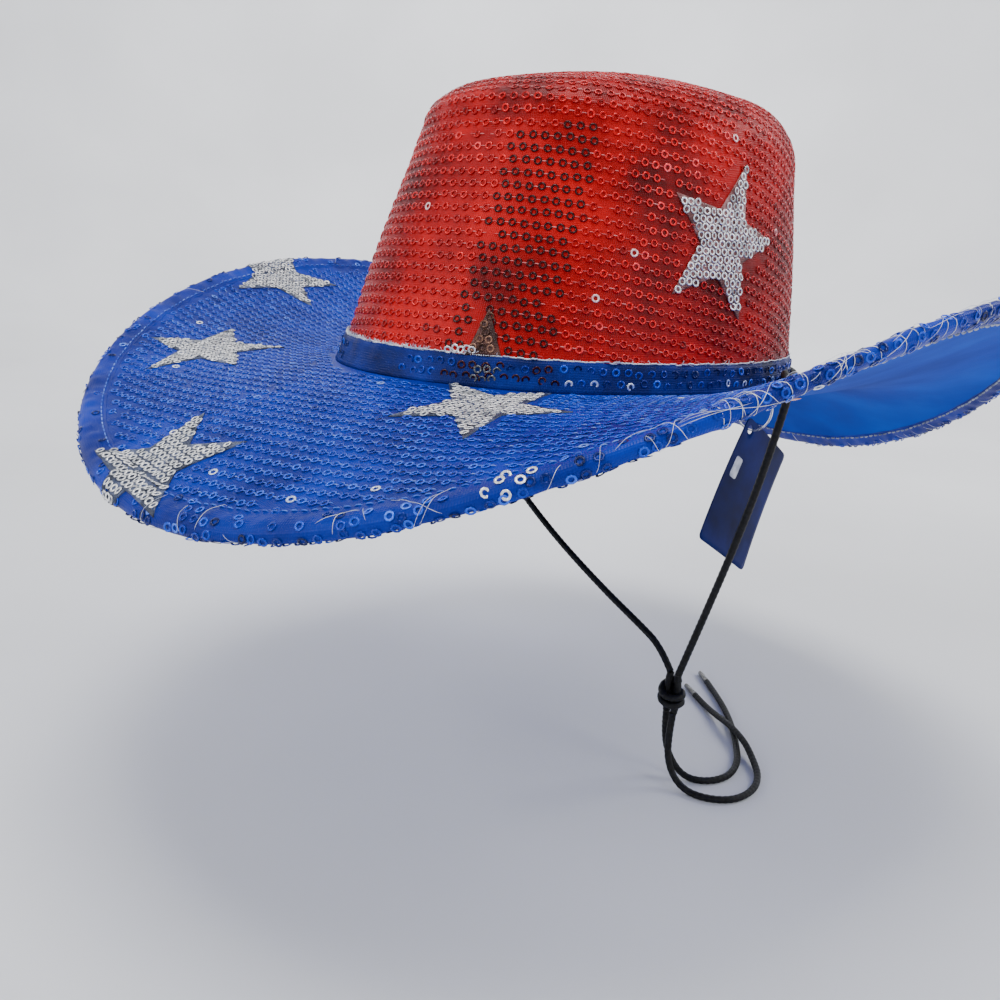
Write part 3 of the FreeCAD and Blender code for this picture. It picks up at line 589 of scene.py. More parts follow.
# %% Brim surfaces
HEM_DEPTH = 9.4
CLOTH_TUCK = 8.6
nose = np.radians(np.linspace(0, 90, 10))
top_half = np.concatenate([
    np.stack([2.7 * (1 - np.cos(nose)), 2.75 * np.sin(nose)], axis=1),
    [(4.0, 2.8), (5.5, 2.55), (7.0, 2.3), (8.0, 2.35), (8.7, 2.2), (9.1, 1.9), (HEM_DEPTH, 1.55)]])
hem_section = np.concatenate([top_half[::-1], (top_half * [1, -1])[1:]])
section_arc = along(hem_section)
HEM_ARC = section_arc[len(top_half) - 1] - section_arc
TOP_ARC = HEM_ARC[0]
EDGE_ANGLES = np.linspace(-np.pi, np.pi, 1441)
EDGE_ARC = along(brim_point(EDGE_ANGLES, 1.0, 0.0))


def edge_run(angle):
    """Distance along the brim's edge at an angle."""
    return np.interp(np.mod(angle + np.pi, 2 * np.pi) - np.pi, EDGE_ANGLES, EDGE_ARC)


def pucker(angle, inset):
    """Gathers that fade away from the hem, and a slow swell of the whole sheet."""
    run = edge_run(angle)
    turns = 2 * np.pi / EDGE_ARC[-1]
    near = np.exp(-np.maximum(inset - 9, 0) / 9.0)
    gathers = (np.sin(turns * 151 * run + 2 * np.sin(9 * angle)) + 0.7 * np.sin(turns * 97 * run + inset / 5)
               + 0.5 * np.sin(turns * 223 * run))
    slow = 0.25 * np.sin(7 * angle + inset / 17) + 0.2 * np.sin(11 * angle - inset / 23)
    return 0.13 * near * gathers + slow * np.clip(inset / 20, 0, 1) * 0.45


def sheet_top(angle, share):
    """The brim's top cloth."""
    inset = (1 - share) * brim_width(angle)
    return brim_point(angle, share, CLOTH_TOP + pucker(angle, inset))


def hem_at(angle, arc, swell=0.0):
    """The rolled hem; arc is the distance from the nose, positive on top."""
    inset = np.interp(-arc, -HEM_ARC, hem_section[:, 0])
    height = np.interp(-arc, -HEM_ARC, hem_section[:, 1])
    run = edge_run(angle)
    turns = 2 * np.pi / EDGE_ARC[-1]
    fold = (np.sin(turns * 121 * run + arc / 2.4) + 0.8 * np.sin(turns * 173 * run - arc / 1.9)
            + 0.7 * np.sin(turns * 67 * run + 1.0))
    puff = 0.12 * fold * np.clip(inset / 2.5, 0, 1) * np.clip((HEM_DEPTH - inset) / 2, 0.15, 1) + swell
    stretch = 1 + 0.05 * np.sin(turns * 23 * run) + 0.04 * np.sin(turns * 41 * run + 2)
    height = height * (1 + puff / 2.6) * np.where(inset < 8.5, stretch, 1)
    return brim_point(angle, 1 - inset / brim_width(angle), MID_LIFT + height)


def skin(x, y):
    """The brim's upper skin above a plan point; past the edge it wraps round the hem's nose."""
    angle, share = brim_inverse(x, y)
    inset = (1 - share) * brim_width(angle)
    arc = np.clip(inset + (TOP_ARC - HEM_DEPTH), HEM_ARC[-1] + 0.2, None)
    flat = sheet_top(angle, share)
    rolled = hem_at(angle, np.minimum(arc, TOP_ARC))
    return np.where((inset > HEM_DEPTH)[..., None], flat, rolled)


# %% Brim meshes
BRIM_AROUND = 960
HEM_AROUND = 1800
HEM_ROWS = 36
turns = np.linspace(-np.pi, np.pi, BRIM_AROUND, endpoint=False)
steps = np.linspace(0, 1, 70)
outer_share = 1 - CLOTH_TUCK / brim_width(turns)
shares = outer_share[None, :] * steps[:, None]
insets = (1 - shares) * brim_width(turns)[None, :]
top_points = sheet_top(turns[None, :], shares)
uv = np.stack([top_points[..., 0], top_points[..., 1]], axis=-1)
brim_cloth = mesh_object("brim_cloth", top_points, grid_faces(len(steps), BRIM_AROUND, loop_columns=True),
                         blue_cloth, uv=uv)
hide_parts("brim_top_cloth")

under_points = brim_point(turns[None, :], shares, BRIM_FLOOR - 0.15 + 0.1 * np.sin(5 * turns + insets / 15)
                          - 0.25 * np.exp(-insets / 14) * np.abs(np.sin(insets / 3 + 40 * turns)))
lip = crown_side(turns, -4.7, np.full(BRIM_AROUND, BRIM_FLOOR - 0.3))
under_points = np.concatenate([lip[None], under_points])
uv = np.stack([under_points[..., 0], under_points[..., 1]], axis=-1)
brim_underside = mesh_object("brim_underside", under_points,
                             grid_faces(len(steps) + 1, BRIM_AROUND, loop_columns=True, flip=True),
                             brushed_blue, uv=uv)
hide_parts("brim_underside_cloth")

hem_turns = np.linspace(-np.pi, np.pi, HEM_AROUND, endpoint=False)
hem_arcs = np.linspace(TOP_ARC, HEM_ARC[-1], HEM_ROWS)
hem_points = hem_at(hem_turns[None, :], hem_arcs[:, None])
uv = np.stack(np.broadcast_arrays(edge_run(hem_turns)[None, :], hem_arcs[:, None]), axis=-1)
brim_hem = mesh_object("brim_rolled_hem", hem_points,
                       grid_faces(HEM_ROWS, HEM_AROUND, loop_columns=True), blue_cloth, uv=uv)
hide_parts("brim_hem")
print("the brim's edge is", round(EDGE_ARC[-1]), "mm long")

# %% [markdown]
# ## Stars
# Each star is a five-pointed patch of silvery film cloth, closely covered with silver sequins. A
# point of the flat star is carried to the crown's wall, or down on to the brim, where it may bend
# round the rolled hem.

# %% Star shapes
STAR_REACH = 29.8
STAR_NOTCH = 12.4
STAR_LOWEST = 10.5
STAR_AROUND = 200
STAR_RINGS = 15
CROWN_STARS = {"left": (82.6, 53.2, 14.0), "front": (31.0, -1.5, -6.0), "right": (-80.0, 45.0, -20.0),
               "back": (172.0, 52.0, 30.0)}
BRIM_STARS = {"front": (-0.4, 0.86, 40.0), "front_right": (-38.3, 0.56, -47.0),
              "right": (-75.8, 0.86, 16.0), "front_left": (36.0, 0.24, -2.0),
              "back_left": (139.0, 0.74, 20.0), "back": (170.0, 0.72, -12.0),
              "back_right": (-128.0, 0.55, 8.0)}


def star_limit(angle, turn):
    """r = R r' sin 36 / (R sin u + r' sin(36 - u)), with u folded from a tip to a notch."""
    fifth = np.radians(36.0)
    u = np.abs(np.mod(angle - np.radians(turn) + fifth, 2 * fifth) - fifth)
    across = STAR_REACH * np.sin(u) + STAR_NOTCH * np.sin(fifth - u)
    return STAR_REACH * STAR_NOTCH * math.sin(fifth) / across


def inside_star(a, b, turn, margin):
    """True where (a, b) lies at least the margin inside the star's outline."""
    return np.hypot(a, b) + margin < star_limit(np.arctan2(a, b), turn)


def crown_star_axes(angle_deg, height):
    """Centre, sideways and upward directions of a star on the wall."""
    angle = math.radians(angle_deg)
    centre = crown_side(angle, 0.0, height)
    across = unit(crown_side(angle + 0.01, 0.0, height) - crown_side(angle - 0.01, 0.0, height))
    up = unit(crown_side(angle, 0.0, height + 1.0) - crown_side(angle, 0.0, height - 1.0))
    return centre, across, up


def wall_place(point):
    """The angle and climb of a point near the crown's wall."""
    height = point[..., 2]
    share = (height - BRIM_FLOOR) / (CROWN_TOP - BRIM_FLOOR)
    half_width = CROWN_BASE[0] + (CROWN_TIP[0] - CROWN_BASE[0]) * share
    half_length = CROWN_BASE[1] + (CROWN_TIP[1] - CROWN_BASE[1]) * share
    angle = np.arctan2(point[..., 0] / half_width, -(point[..., 1] - TIP_SETBACK * share) / half_length)
    slant = np.linalg.norm(crown_side(angle, 0.0, CROWN_TOP) - crown_side(angle, 0.0, BRIM_FLOOR), axis=-1)
    return angle, slant * share


def crown_star_surface(angle_deg, height):
    """The flat star's (a, b) laid on a plane that touches the wall, then carried to the crown."""
    centre, across, up = crown_star_axes(angle_deg, height)

    def surface(a, b):
        point = centre + across * np.asarray(a)[..., None] + up * np.asarray(b)[..., None]
        point[..., 2] = np.maximum(point[..., 2], STAR_LOWEST)
        return crown_at(*wall_place(point))
    return surface


def brim_star_surface(angle_deg, share):
    """The flat star's (a, b) dropped on to the brim's upper skin."""
    centre = brim_point(math.radians(angle_deg), share, 0.0)

    def surface(a, b):
        return skin(centre[0] + a, centre[1] + b)
    return surface


def star_patch(name, surface, turn, lift, cloth=film_cloth_blue_reflection):
    """A star on a fan of rings; its last ring turns down to the cloth."""
    around = np.radians(turn) + np.linspace(0, 2 * np.pi, STAR_AROUND, endpoint=False)
    limit = star_limit(around, turn)
    rings = np.concatenate([np.linspace(0.03, 0.985, STAR_RINGS), [1.0, 1.002]])
    lifts = np.concatenate([np.full(STAR_RINGS, lift), [lift * 0.7, -0.3]])
    a = rings[:, None] * limit * np.sin(around)
    b = rings[:, None] * limit * np.cos(around)
    here, _, normal = frame_at(surface, a, b, 0.4, 0.4)
    points = here + normal * lifts[:, None, None]
    count = len(rings) * STAR_AROUND
    points = np.concatenate([points.reshape(-1, 3), points[0].mean(axis=0, keepdims=True)])
    first = np.arange(STAR_AROUND)
    fan = np.stack([np.full(STAR_AROUND, count), first, (first + 1) % STAR_AROUND], axis=1)
    uv = np.concatenate([np.stack([a, b], axis=-1).reshape(-1, 2), [[0, 0]]])
    faces = grid_faces(len(rings), STAR_AROUND, loop_columns=True, flip=True)
    piece = mesh_object(name, points, faces, cloth, uv=uv, triangles=fan)
    return piece


def ring_shape(outer, hole, sides=9):
    """A flat glossy ring: closed rings of points at five radii."""
    turn = np.linspace(0, 2 * np.pi, sides, endpoint=False)
    middle = (outer + hole) / 2
    radii = np.array([hole * 1.04, hole, middle, outer, outer * 0.97])
    heights = np.array([0.02, 0.14, 0.22, 0.17, 0.02])
    points = stack(radii[:, None] * np.cos(turn), radii[:, None] * np.sin(turn), heights[:, None])
    return points.reshape(-1, 3), grid_faces(len(radii), sides, loop_columns=True)


SEQUIN_HOLE = 0.78
STAR_SEQUIN_GAP = 3.05
STAR_ROW_GAP = 2.75
SEQUIN, SEQUIN_FACES = ring_shape(1.5, SEQUIN_HOLE)
STAR_SEQUIN, STAR_SEQUIN_FACES = ring_shape(1.48, SEQUIN_HOLE)


def tilt(normals, amount):
    """Lean each direction a little, at random."""
    return unit(normals + amount * random.normal(size=normals.shape))


def star_sequins(name, surface, turn, lift, keep_above=None, foil=silver_foil):
    """Sequins in close rows that shingle over each other."""
    a, b = np.meshgrid(np.arange(-31.0, 31.0, STAR_SEQUIN_GAP), np.arange(-31.0, 31.0, STAR_ROW_GAP))
    a = a + 1.5 * (np.arange(len(b)) % 2)[:, None] + random.normal(0, 0.1, a.shape)
    b = b + random.normal(0, 0.1, b.shape)
    inside = inside_star(a, b, turn, 0.7)
    a, b = a[inside], b[inside]
    here, run, normal = frame_at(surface, a, b, 0.4, 0.4)
    if keep_above is not None:
        shown = here[:, 2] > keep_above
        here, run, normal = here[shown], run[shown], normal[shown]
    # mostly high values, so star sequins show the ramp's painted glints
    tone_and_light_values = np.clip(random.normal(0.8, 0.16, len(here)), 0.1, 1.0)
    piece = stamp(name, here + normal * (lift + 0.08), tilt(run, 0.2), tilt(normal, 0.08), STAR_SEQUIN,
                  STAR_SEQUIN_FACES, foil, tone_and_light_values)
    return piece


for label, (angle, height, turn) in CROWN_STARS.items():
    surface = crown_star_surface(angle, height)
    # the front star's silver is painted dark as shade
    shaded = label == "front"
    patch = star_patch(f"crown_star_{label}_patch", surface, turn, 0.5, star_cloth_painted_shade if shaded else film_cloth_red_reflection)
    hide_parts(f"crown_star_{label}")
    star_sequins(f"crown_star_{label}_sequins", surface, turn, 0.45, keep_above=12.0,
                 foil=star_foil_painted_shade if shaded else silver_foil)
for label, (angle, share, turn) in BRIM_STARS.items():
    surface = brim_star_surface(angle, share)
    patch = star_patch(f"brim_star_{label}_patch", surface, turn, 0.45)
    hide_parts(f"brim_star_{label}")
    star_sequins(f"brim_star_{label}_sequins", surface, turn, 0.4)

# %% [markdown]
# ## Rows of sequins
# A machine sews the sequins on the flat cloth in straight rows, so on the crown the rows follow the
# cloth as it would unroll from a cone: level at the front and sloping down toward the back. Each
# sequin is a thin flat ring with a softened rim, and a short stitch leads on to the next.

# %% Crown sequins
ROW_GAP = 4.4
PITCH = 4.2
CONE_REACH = 500.0
LEVEL_ANGLE = math.radians(12.0)


def jitter(count, size):
    """Random offsets in mm, normally distributed."""
    return random.normal(0, size, count)


def crown_rows():
    """Unroll the cone: X = R sin t and Y = R cos t, with rows at even steps of Y."""
    half = BASE_ARC[-1] / 2 / CONE_REACH
    x, y = np.meshgrid(np.arange(-CONE_REACH * half, CONE_REACH * half, PITCH),
                       np.arange(CONE_REACH * math.cos(half) - 140.0, CONE_REACH + 2.0, ROW_GAP))
    x = x + 0.5 * PITCH * (np.arange(len(y)) % 2)[:, None] + jitter(y.shape, 0.12)
    y = y + jitter(y.shape, 0.12)
    reach = np.hypot(x, y).ravel()
    swing = np.arctan2(x, y).ravel()
    start = np.interp(LEVEL_ANGLE, CROWN_TURN, BASE_ARC)
    arc = start + swing * CONE_REACH
    angle = np.interp(np.mod(arc, BASE_ARC[-1]), BASE_ARC, CROWN_TURN)
    angle = np.where(angle > np.pi, angle - 2 * np.pi, angle)
    climb = CONE_REACH - reach
    heading = -swing
    turn, _, wall_length, _ = crown_section(angle)[4:]
    keep = (np.abs(swing) < half) & (climb > 15.5) & (climb < wall_length + SHOULDER * turn)
    return angle[keep], climb[keep], heading[keep]


def off_stars(points):
    """True where a crown point lies clear of every star."""
    clear = np.ones(len(points), bool)
    for angle, height, turn in CROWN_STARS.values():
        centre, across, up = crown_star_axes(angle, height)
        gap = points - centre
        near = np.sum(gap * np.cross(across, up), axis=-1) > -25
        clear &= ~(near & inside_star(gap @ across, gap @ up, turn, -1.2))
    return clear


def lay_rows(name, here, run, normal, tone_and_light_values, foil, thread, skip=0.02):
    """Sequins and their stitches along rows, in two or more pieces so that none is too heavy."""
    present = random.random(len(here)) > skip
    sequins = stamp(name + "_sequins", (here + normal * 0.16)[present], tilt(run, 0.1)[present],
                    tilt(normal, 0.06)[present], SEQUIN, SEQUIN_FACES, foil, tone_and_light_values[present])
    step = np.linspace(-0.5, 0.5, 4)
    middle = here + unit(run) * (PITCH / 2)
    length = random.uniform(1.9, 3.0, len(here))
    paths = (middle[:, None] + run[:, None] * (step[None] * length[:, None])[..., None]
             + normal[:, None] * (0.34 - 0.9 * step ** 2)[None, :, None])
    stitches = threads(name + "_stitches", paths, 0.19, thread, sides=3)


angle, climb, heading = crown_rows()
here, run, normal = frame_at(crown_at, angle, climb, 0.004, 0.4)
up = np.cross(normal, run)
run = run * np.cos(heading)[:, None] + up * np.sin(heading)[:, None]
clear = off_stars(here)
# painted light on the crown's sequins: a band painted as dark reflection, brighter clusters of painted
# glints, and a few painted white glints
dark_reflection_band = (np.abs(angle - 0.57 - 0.0002 * climb) < 0.2) & (climb < 96)
glint_clusters = np.exp(-((angle - 1.0 - 0.006 * (climb - 40)) / 0.12) ** 2) + np.exp(-((climb - 88) / 9) ** 2) * 0.7
tone_and_light_values = np.clip(random.normal(0.55, 0.07, len(here)) + 0.26 * glint_clusters * random.random(len(here))
                + 0.3 * (random.random(len(here)) > 0.985), 0.02, 1.0)
tone_and_light_values = np.where(dark_reflection_band, 0.1 + 0.06 * random.random(len(here)), tone_and_light_values)
half_turn = angle > 0
for label, part in (("left", half_turn), ("right", ~half_turn)):
    chosen = part & clear
    lay_rows(f"crown_{label}", here[chosen], run[chosen], normal[chosen], tone_and_light_values[chosen], red_foil,
             pink_thread)

# %% Crown tip sequins


def tip_place(x, y):
    """The angle and climb of a point of the tip, and how far it lies past the shoulder."""
    angle = np.arctan2(x / CROWN_TIP[0], -(y - TIP_SETBACK) / CROWN_TIP[1])
    spread = np.hypot(x / CROWN_TIP[0], (y - TIP_SETBACK) / CROWN_TIP[1])
    turn, tangent, wall_length, top_length = crown_section(angle)[4:]
    past = (top_length + tangent) * (1 - spread) - tangent
    return angle, wall_length + SHOULDER * turn + past, past


def tip_at(x, y):
    """The crown's tip above a plan point."""
    return crown_at(*tip_place(x, y)[:2])


x, y = np.meshgrid(np.arange(-66.0, 66.0, PITCH), np.arange(-66.0, 100.0, ROW_GAP))
x = x + 0.5 * PITCH * (np.arange(len(y)) % 2)[:, None] + jitter(x.shape, 0.12)
on_tip = tip_place(x, y)[2] > 2.0
x, y = x[on_tip], y[on_tip]
here, run, normal = frame_at(tip_at, x, y, 0.4, 0.4)
lay_rows("crown_tip", here, run, normal, np.clip(random.normal(0.6, 0.08, len(x)), 0.05, 1.0), red_foil,
         pink_thread)

# %% [markdown]
# ## Sequins of the brim and the hem
# The brim's rows run from side to side on a slant, as on cloth that was cut a little off its grain,
# and they bow back where it is drawn up the curl.
# The hem is cut from the same cloth, and its rows are broken by the turning.

# %% Brim sequins
BRIM_ROW_GAP = 4.3
BRIM_PITCH = 4.0
ROW_SLOPE = 0.19
ROW_BOW = 0.00045
x, y = np.meshgrid(np.arange(-180.0, 180.0, BRIM_PITCH), np.arange(-246.0, 224.0, BRIM_ROW_GAP))
x = x + 0.5 * BRIM_PITCH * (np.arange(len(y)) % 2)[:, None] + jitter(x.shape, 0.1)
y = y + ROW_SLOPE * x + ROW_BOW * x ** 2 + jitter(y.shape, 0.08)
x, y = x.ravel(), y.ravel()
angle, share = brim_inverse(x, y)
inset = (1 - share) * brim_width(angle)
keep = (share * brim_width(angle) > 3.5) & (inset > 10.6)
for star_angle, star_share, turn in BRIM_STARS.values():
    centre = brim_point(math.radians(star_angle), star_share, 0.0)
    keep &= ~inside_star(x - centre[0], y - centre[1], turn, -1.3)
x, y = x[keep], y[keep]
here, run, normal = frame_at(skin, x, y, 0.4, 0.4)
run = unit(run + (ROW_SLOPE + 2 * ROW_BOW * x[:, None]) * np.cross(normal, run))
# a few sequins are lifted toward the ramp's white as painted glints
tone_and_light_values = np.clip(random.normal(0.56, 0.08, len(x)) + 0.4 * (random.random(len(x)) > 0.992), 0.02, 1.0)
for label, part in (("front", y < -60), ("middle", (y >= -60) & (y < 60)), ("back", y >= 60)):
    lay_rows(f"brim_{label}", here[part], run[part], normal[part], tone_and_light_values[part], blue_foil,
             blue_thread)

# %% Hem sequins and threads
per_row = int(EDGE_ARC[-1] / PITCH)
row_arcs = np.array([-3.6, -0.6, 2.4, 5.4, 8.0])
arc, place = np.meshgrid(row_arcs, np.linspace(0, EDGE_ARC[-1], per_row, endpoint=False))
place = place + np.array([0.0, 2.1, 0.0, 2.1, 0.0]) + jitter(arc.shape, 0.5)
arc = arc + 0.9 * np.sin(place / 31.0) + jitter(arc.shape, 0.45)
keep = random.random(arc.shape) < np.array([0.6, 0.75, 0.4, 0.2, 0.15])
angle, arc = np.interp(place[keep], EDGE_ARC, EDGE_ANGLES), arc[keep]
here, run, normal = frame_at(hem_at, angle, arc, 0.003, 0.2)
count = len(angle)
# some hem sequins are lifted toward the ramp's white as painted glints
tone_and_light_values = np.clip(random.normal(0.42, 0.2, count) + 0.4 * (random.random(count) > 0.93), 0.05, 1.0)
hem_sequins = stamp("hem_sequins", here + normal * 0.05, tilt(run, 0.3), tilt(normal, 0.1), SEQUIN,
                    SEQUIN_FACES, blue_foil, tone_and_light_values)
spots = np.radians([41.0, 42.0, 42.6, 43.6, 44.4, 42.4, 136.0, 137.0, 138.5, 139.5, 151.0, 153.0, 158.0,
                    160.0])
arc = np.array([2.0, 4.6, 0.2, 2.6, 5.0, 7.2, 3.0, 0.5, 4.2, 1.6, 3.4, 1.0, 4.0, 1.8])
here, run, normal = frame_at(hem_at, spots, arc, 0.003, 0.2)
silver_bits = stamp("hem_silver_sequins", here + normal * 0.3, tilt(run, 0.4), tilt(normal, 0.3), SEQUIN,
                    SEQUIN_FACES, silver_foil, np.full(len(spots), 0.9))


def across_hem(name, angles, first, last, lean, lift, radius, thread):
    """Threads that cross the hem from one arc to another, each leaning a little along the edge."""
    step = np.linspace(0, 1, 12)
    arcs = first[:, None] + (last - first)[:, None] * step
    places = angles[:, None] + lean[:, None] * (step - 0.5)
    here, _, normal = frame_at(hem_at, places, arcs, 0.003, 0.2)
    arch = lift * np.sin(np.pi * step)
    return threads(name, here + normal * (0.05 + arch)[None, :, None], radius, thread)


rear = np.radians(np.arange(58.0, 180.0, 1.65))
rear = rear + jitter(len(rear), 0.008)
wraps = across_hem("hem_overcast_threads", rear, np.full(len(rear), TOP_ARC - 0.6) + jitter(len(rear), 0.7),
                   np.full(len(rear), -5.5) + jitter(len(rear), 1.5), 0.03 + jitter(len(rear), 0.012), 0.1,
                   0.1, white_thread)
loose_angles = np.where(random.random(110) < 0.6, random.uniform(0.8, np.pi, 110),
                        random.uniform(-np.pi, np.pi, 110))
strays = across_hem("hem_loose_threads", loose_angles, random.uniform(0.0, TOP_ARC, 110),
                    random.uniform(-5.0, 3.0, 110), jitter(110, 0.05), 0.9, 0.06, white_thread)


def running_stitch(name, arc, pitch, share, radius, thread, sides=5):
    """Dashes along the hem at one arc, each a short arch."""
    count = int(EDGE_ARC[-1] / pitch)
    starts = (np.arange(count) + 0.5) / count * EDGE_ARC[-1]
    step = np.linspace(-0.5, 0.5, 5)
    places = starts[:, None] + step * pitch * share
    angles = np.interp(places, EDGE_ARC, EDGE_ANGLES)
    here, _, normal = frame_at(hem_at, angles, np.full(angles.shape, arc), 0.003, 0.2)
    arch = 0.28 * (1 - (2 * step) ** 2) - 0.05
    return threads(name, here + normal * arch[None, :, None], radius, thread, sides)


top_stitch = running_stitch("hem_top_stitching", TOP_ARC - 1.9, 3.4, 0.7, 0.26, blue_thread)
under_stitch = running_stitch("hem_under_stitching", HEM_ARC[-1] + 1.7, 3.4, 0.78, 0.42, grey_thread)
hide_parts("hem_stitching")

# %% [markdown]
# ## Hat band and sweatband
# A folded strip of the brim's blue cloth hides the joint between crown and brim; its top edge is
# raw, so white threads fray out of it. Inside, a tape covers the same joint.

# %% Bands


def closed_ring(name, section, material, around=480, wave=0.0):
    """A band whose closed section of (outset, height) corners follows the crown's taper."""
    section = np.array(section, float)
    turns = np.linspace(-np.pi, np.pi, around, endpoint=False)
    ripple = wave * (np.sin(23 * turns) + 0.7 * np.sin(41 * turns + 1) + 0.5 * np.sin(67 * turns))
    points = crown_side(turns[None, :], section[:, 0:1] + ripple * (section[:, 1:2] > 4),
                        section[:, 1:2] + 0.6 * ripple * (section[:, 1:2] > 8))
    uv = np.stack(np.broadcast_arrays(turns[None, :] * 94, along(section)[:, None]), axis=-1)
    return mesh_object(name, points, grid_faces(len(section), around, True, True), material, uv=uv)


BAND_TOP = 11.2
hat_band = closed_ring("hat_band_strip", [
    (0.1, 0.4), (0.1, 6.0), (0.15, BAND_TOP - 0.3), (0.5, BAND_TOP), (1.0, BAND_TOP - 0.4), (1.15, 9.0),
    (1.25, 6.0), (1.35, 3.6), (1.5, 2.0), (1.5, 0.4)], band_cloth_painted_shade, wave=0.16)
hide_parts("hat_band")
sweatband = closed_ring("sweatband_tape", [
    (-3.75, -2.6), (-4.7, -2.5), (-4.8, -1.6), (-4.7, 4.0), (-4.65, 12.0), (-4.7, 20.4), (-4.6, 21.2),
    (-4.2, 21.4), (-3.75, 21.2), (-3.7, 12.0)], tape, wave=0.05)
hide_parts("sweatband")

# %% Frayed edge of the hat band
count = 520
near_front = random.random(count) < 0.7
angle = np.where(near_front, random.uniform(-1.1, 0.3, count), random.uniform(-np.pi, np.pi, count))
step = np.linspace(0, 1, 6)
wander = jitter((count, 1), 0.02) * step + jitter((count, 6), 0.002)
rise = random.uniform(0.6, 2.1, (count, 1)) * step
paths = crown_side(angle[:, None] + wander, 0.75 + 0.5 * step * random.random((count, 1)),
                   BAND_TOP - 0.5 + rise)
fray = threads("hat_band_frayed_edge", paths, 0.11, white_thread, sides=3)
edge_turns = np.linspace(-np.pi, np.pi, 241)
starts = edge_turns[:-1]
span = edge_turns[1] - edge_turns[0]
paths = crown_side(starts[:, None] + span * 1.15 * step, 0.75 + jitter((240, 6), 0.05),
                   BAND_TOP + 0.1 + jitter((240, 1), 0.12) + jitter((240, 6), 0.05))
edge_line = threads("hat_band_edge_thread", paths, 0.28, white_thread)
angle, height = np.meshgrid(np.arange(0.2, 6.0, 0.047), [4.2, 8.0])
angle = (angle + np.array([[0.0], [0.023]]) + jitter(angle.shape, 0.004)).ravel()
height = (height + jitter(height.shape, 0.35)).ravel()


def on_band(angle, height):
    """Places and directions on the outer face of the hat band."""
    here = crown_side(angle, 1.35, height)
    run = unit(crown_side(angle + 0.01, 1.35, here[:, 2]) - here)
    return here, run, unit(np.cross(run, [0, 0, 1.0]))


here, run, normal = on_band(angle, height)
count = len(angle)
# painted light on the band's sequins: a few carry painted glints, and near the front most are painted dark
# red as the crown's dark reflection
painted_glints = (random.random(count) > 0.9) & (angle > 0.7)
values = np.where(painted_glints, 0.97, np.clip(random.normal(0.34, 0.2, count), 0.05, 0.8))
shaded = (np.abs(angle - 0.6) < 0.22) & (random.random(count) < 0.8)
for label, part, foil in (("blue", ~shaded, blue_foil), ("dark_reflection", shaded, red_foil)):
    tone_and_light_values = values[part] if label == "blue" else np.full(np.sum(part), 0.1)
    sequins = stamp(f"hat_band_{label}_sequins", here[part], run[part], tilt(normal[part], 0.14), SEQUIN,
                    SEQUIN_FACES, foil, tone_and_light_values)
# a few silver sequins of the front star reach over the band's edge, and a few on the band are
# painted dark as shade
for name, spots, heights, lean, tone_and_light in (
        ("crown_base_silver_sequins", [22.0, 23.6, 25.0, 26.4, 27.6], [12.0, 12.8, 12.4, 13.0, 12.6],
         0.25, 0.85),
        ("hat_band_silver_sequins", [29.5, 31.5, 33.5, 30.0, 32.0, 34.2], [3.6, 3.4, 3.8, 6.6, 6.9, 6.5],
         0.2, 0.08)):
    here, run, normal = on_band(np.radians(spots), np.array(heights))
    bits = stamp(name, here, tilt(run, 0.4), tilt(normal, lean), SEQUIN, SEQUIN_FACES, silver_foil,
                 np.full(len(spots), tone_and_light))

# %% [markdown]
# ## Eyelets
# Two pressed metal eyelets carry the cord through the brim: a rolled flange above, a barrel through
# the layers and a washer below. Each is one section turned about the eyelet's own axis.

# %% Eyelets


def turned(name, section, side, material, around=48):
    """A closed section of (radius, height) turned about an eyelet's axis."""
    section = np.array(section, float)
    here, across, up = eyelet_frame(side)
    other = np.cross(up, across)
    turn = np.linspace(0, 2 * np.pi, around, endpoint=False)
    outward = np.cos(turn)[:, None] * across + np.sin(turn)[:, None] * other
    points = here + section[:, 0, None, None] * outward + section[:, 1, None, None] * up
    return mesh_object(name, points, grid_faces(len(section), around, True, True), material)


for label, side in (("left", 1), ("right", -1)):
    eyelet = turned(f"eyelet_{label}_flange", [
        (2.2, -3.5), (2.2, 0.9), (2.45, 1.5), (3.1, 1.85), (4.1, 1.75), (4.75, 1.35), (4.8, 1.1),
        (4.2, 1.15), (3.2, 1.3), (2.7, 1.0), (2.6, 0.2), (2.6, -3.5)], side, rose_metal)
    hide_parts(f"eyelet_{label}")
    washer = turned(f"eyelet_{label}_washer", [
        (2.66, -2.9), (4.3, -2.92), (4.8, -3.05), (4.75, -3.3), (3.6, -3.5), (2.9, -3.65), (2.66, -3.4)],
        side, rose_metal)
    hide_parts(f"eyelet_washer_{label}")

# %% [markdown]
# ## Cords, knot and sealed ends
# Each run of cord is a tube along its smooth line, with the small diamonds of a round braid raised
# on it. The two strands meet in an overhand knot, drawn here as its straight core with the pair of
# strands wound about it, and each tail ends in a stiff melted tip.

# %% Cords
BRAID_STRANDS = 8
BRAID_LAY = 5.0
CORD_RADIUS = 1.42


def braid_relief(turn, distance):
    """Diamonds: 0.13 cos(4t + 2 pi s / 5) cos(4t - 2 pi s / 5), s in mm."""
    wind = 2 * np.pi * distance / BRAID_LAY
    strands = BRAID_STRANDS / 2
    return 0.13 * np.cos(strands * turn + wind) * np.cos(strands * turn - wind)


CAD_CORDS = {"cord_back": "cord_back_run", "cord_left": "cord_left_strand", "cord_right": "cord_right_strand",
             "cord_inner_tail": "cord_tail_inner", "cord_outer_tail": "cord_tail_outer"}
for name, line in cord_lines.items():
    piece = tube(name, line, CORD_RADIUS, braid, sides=24, relief=braid_relief)
    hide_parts(CAD_CORDS[name])

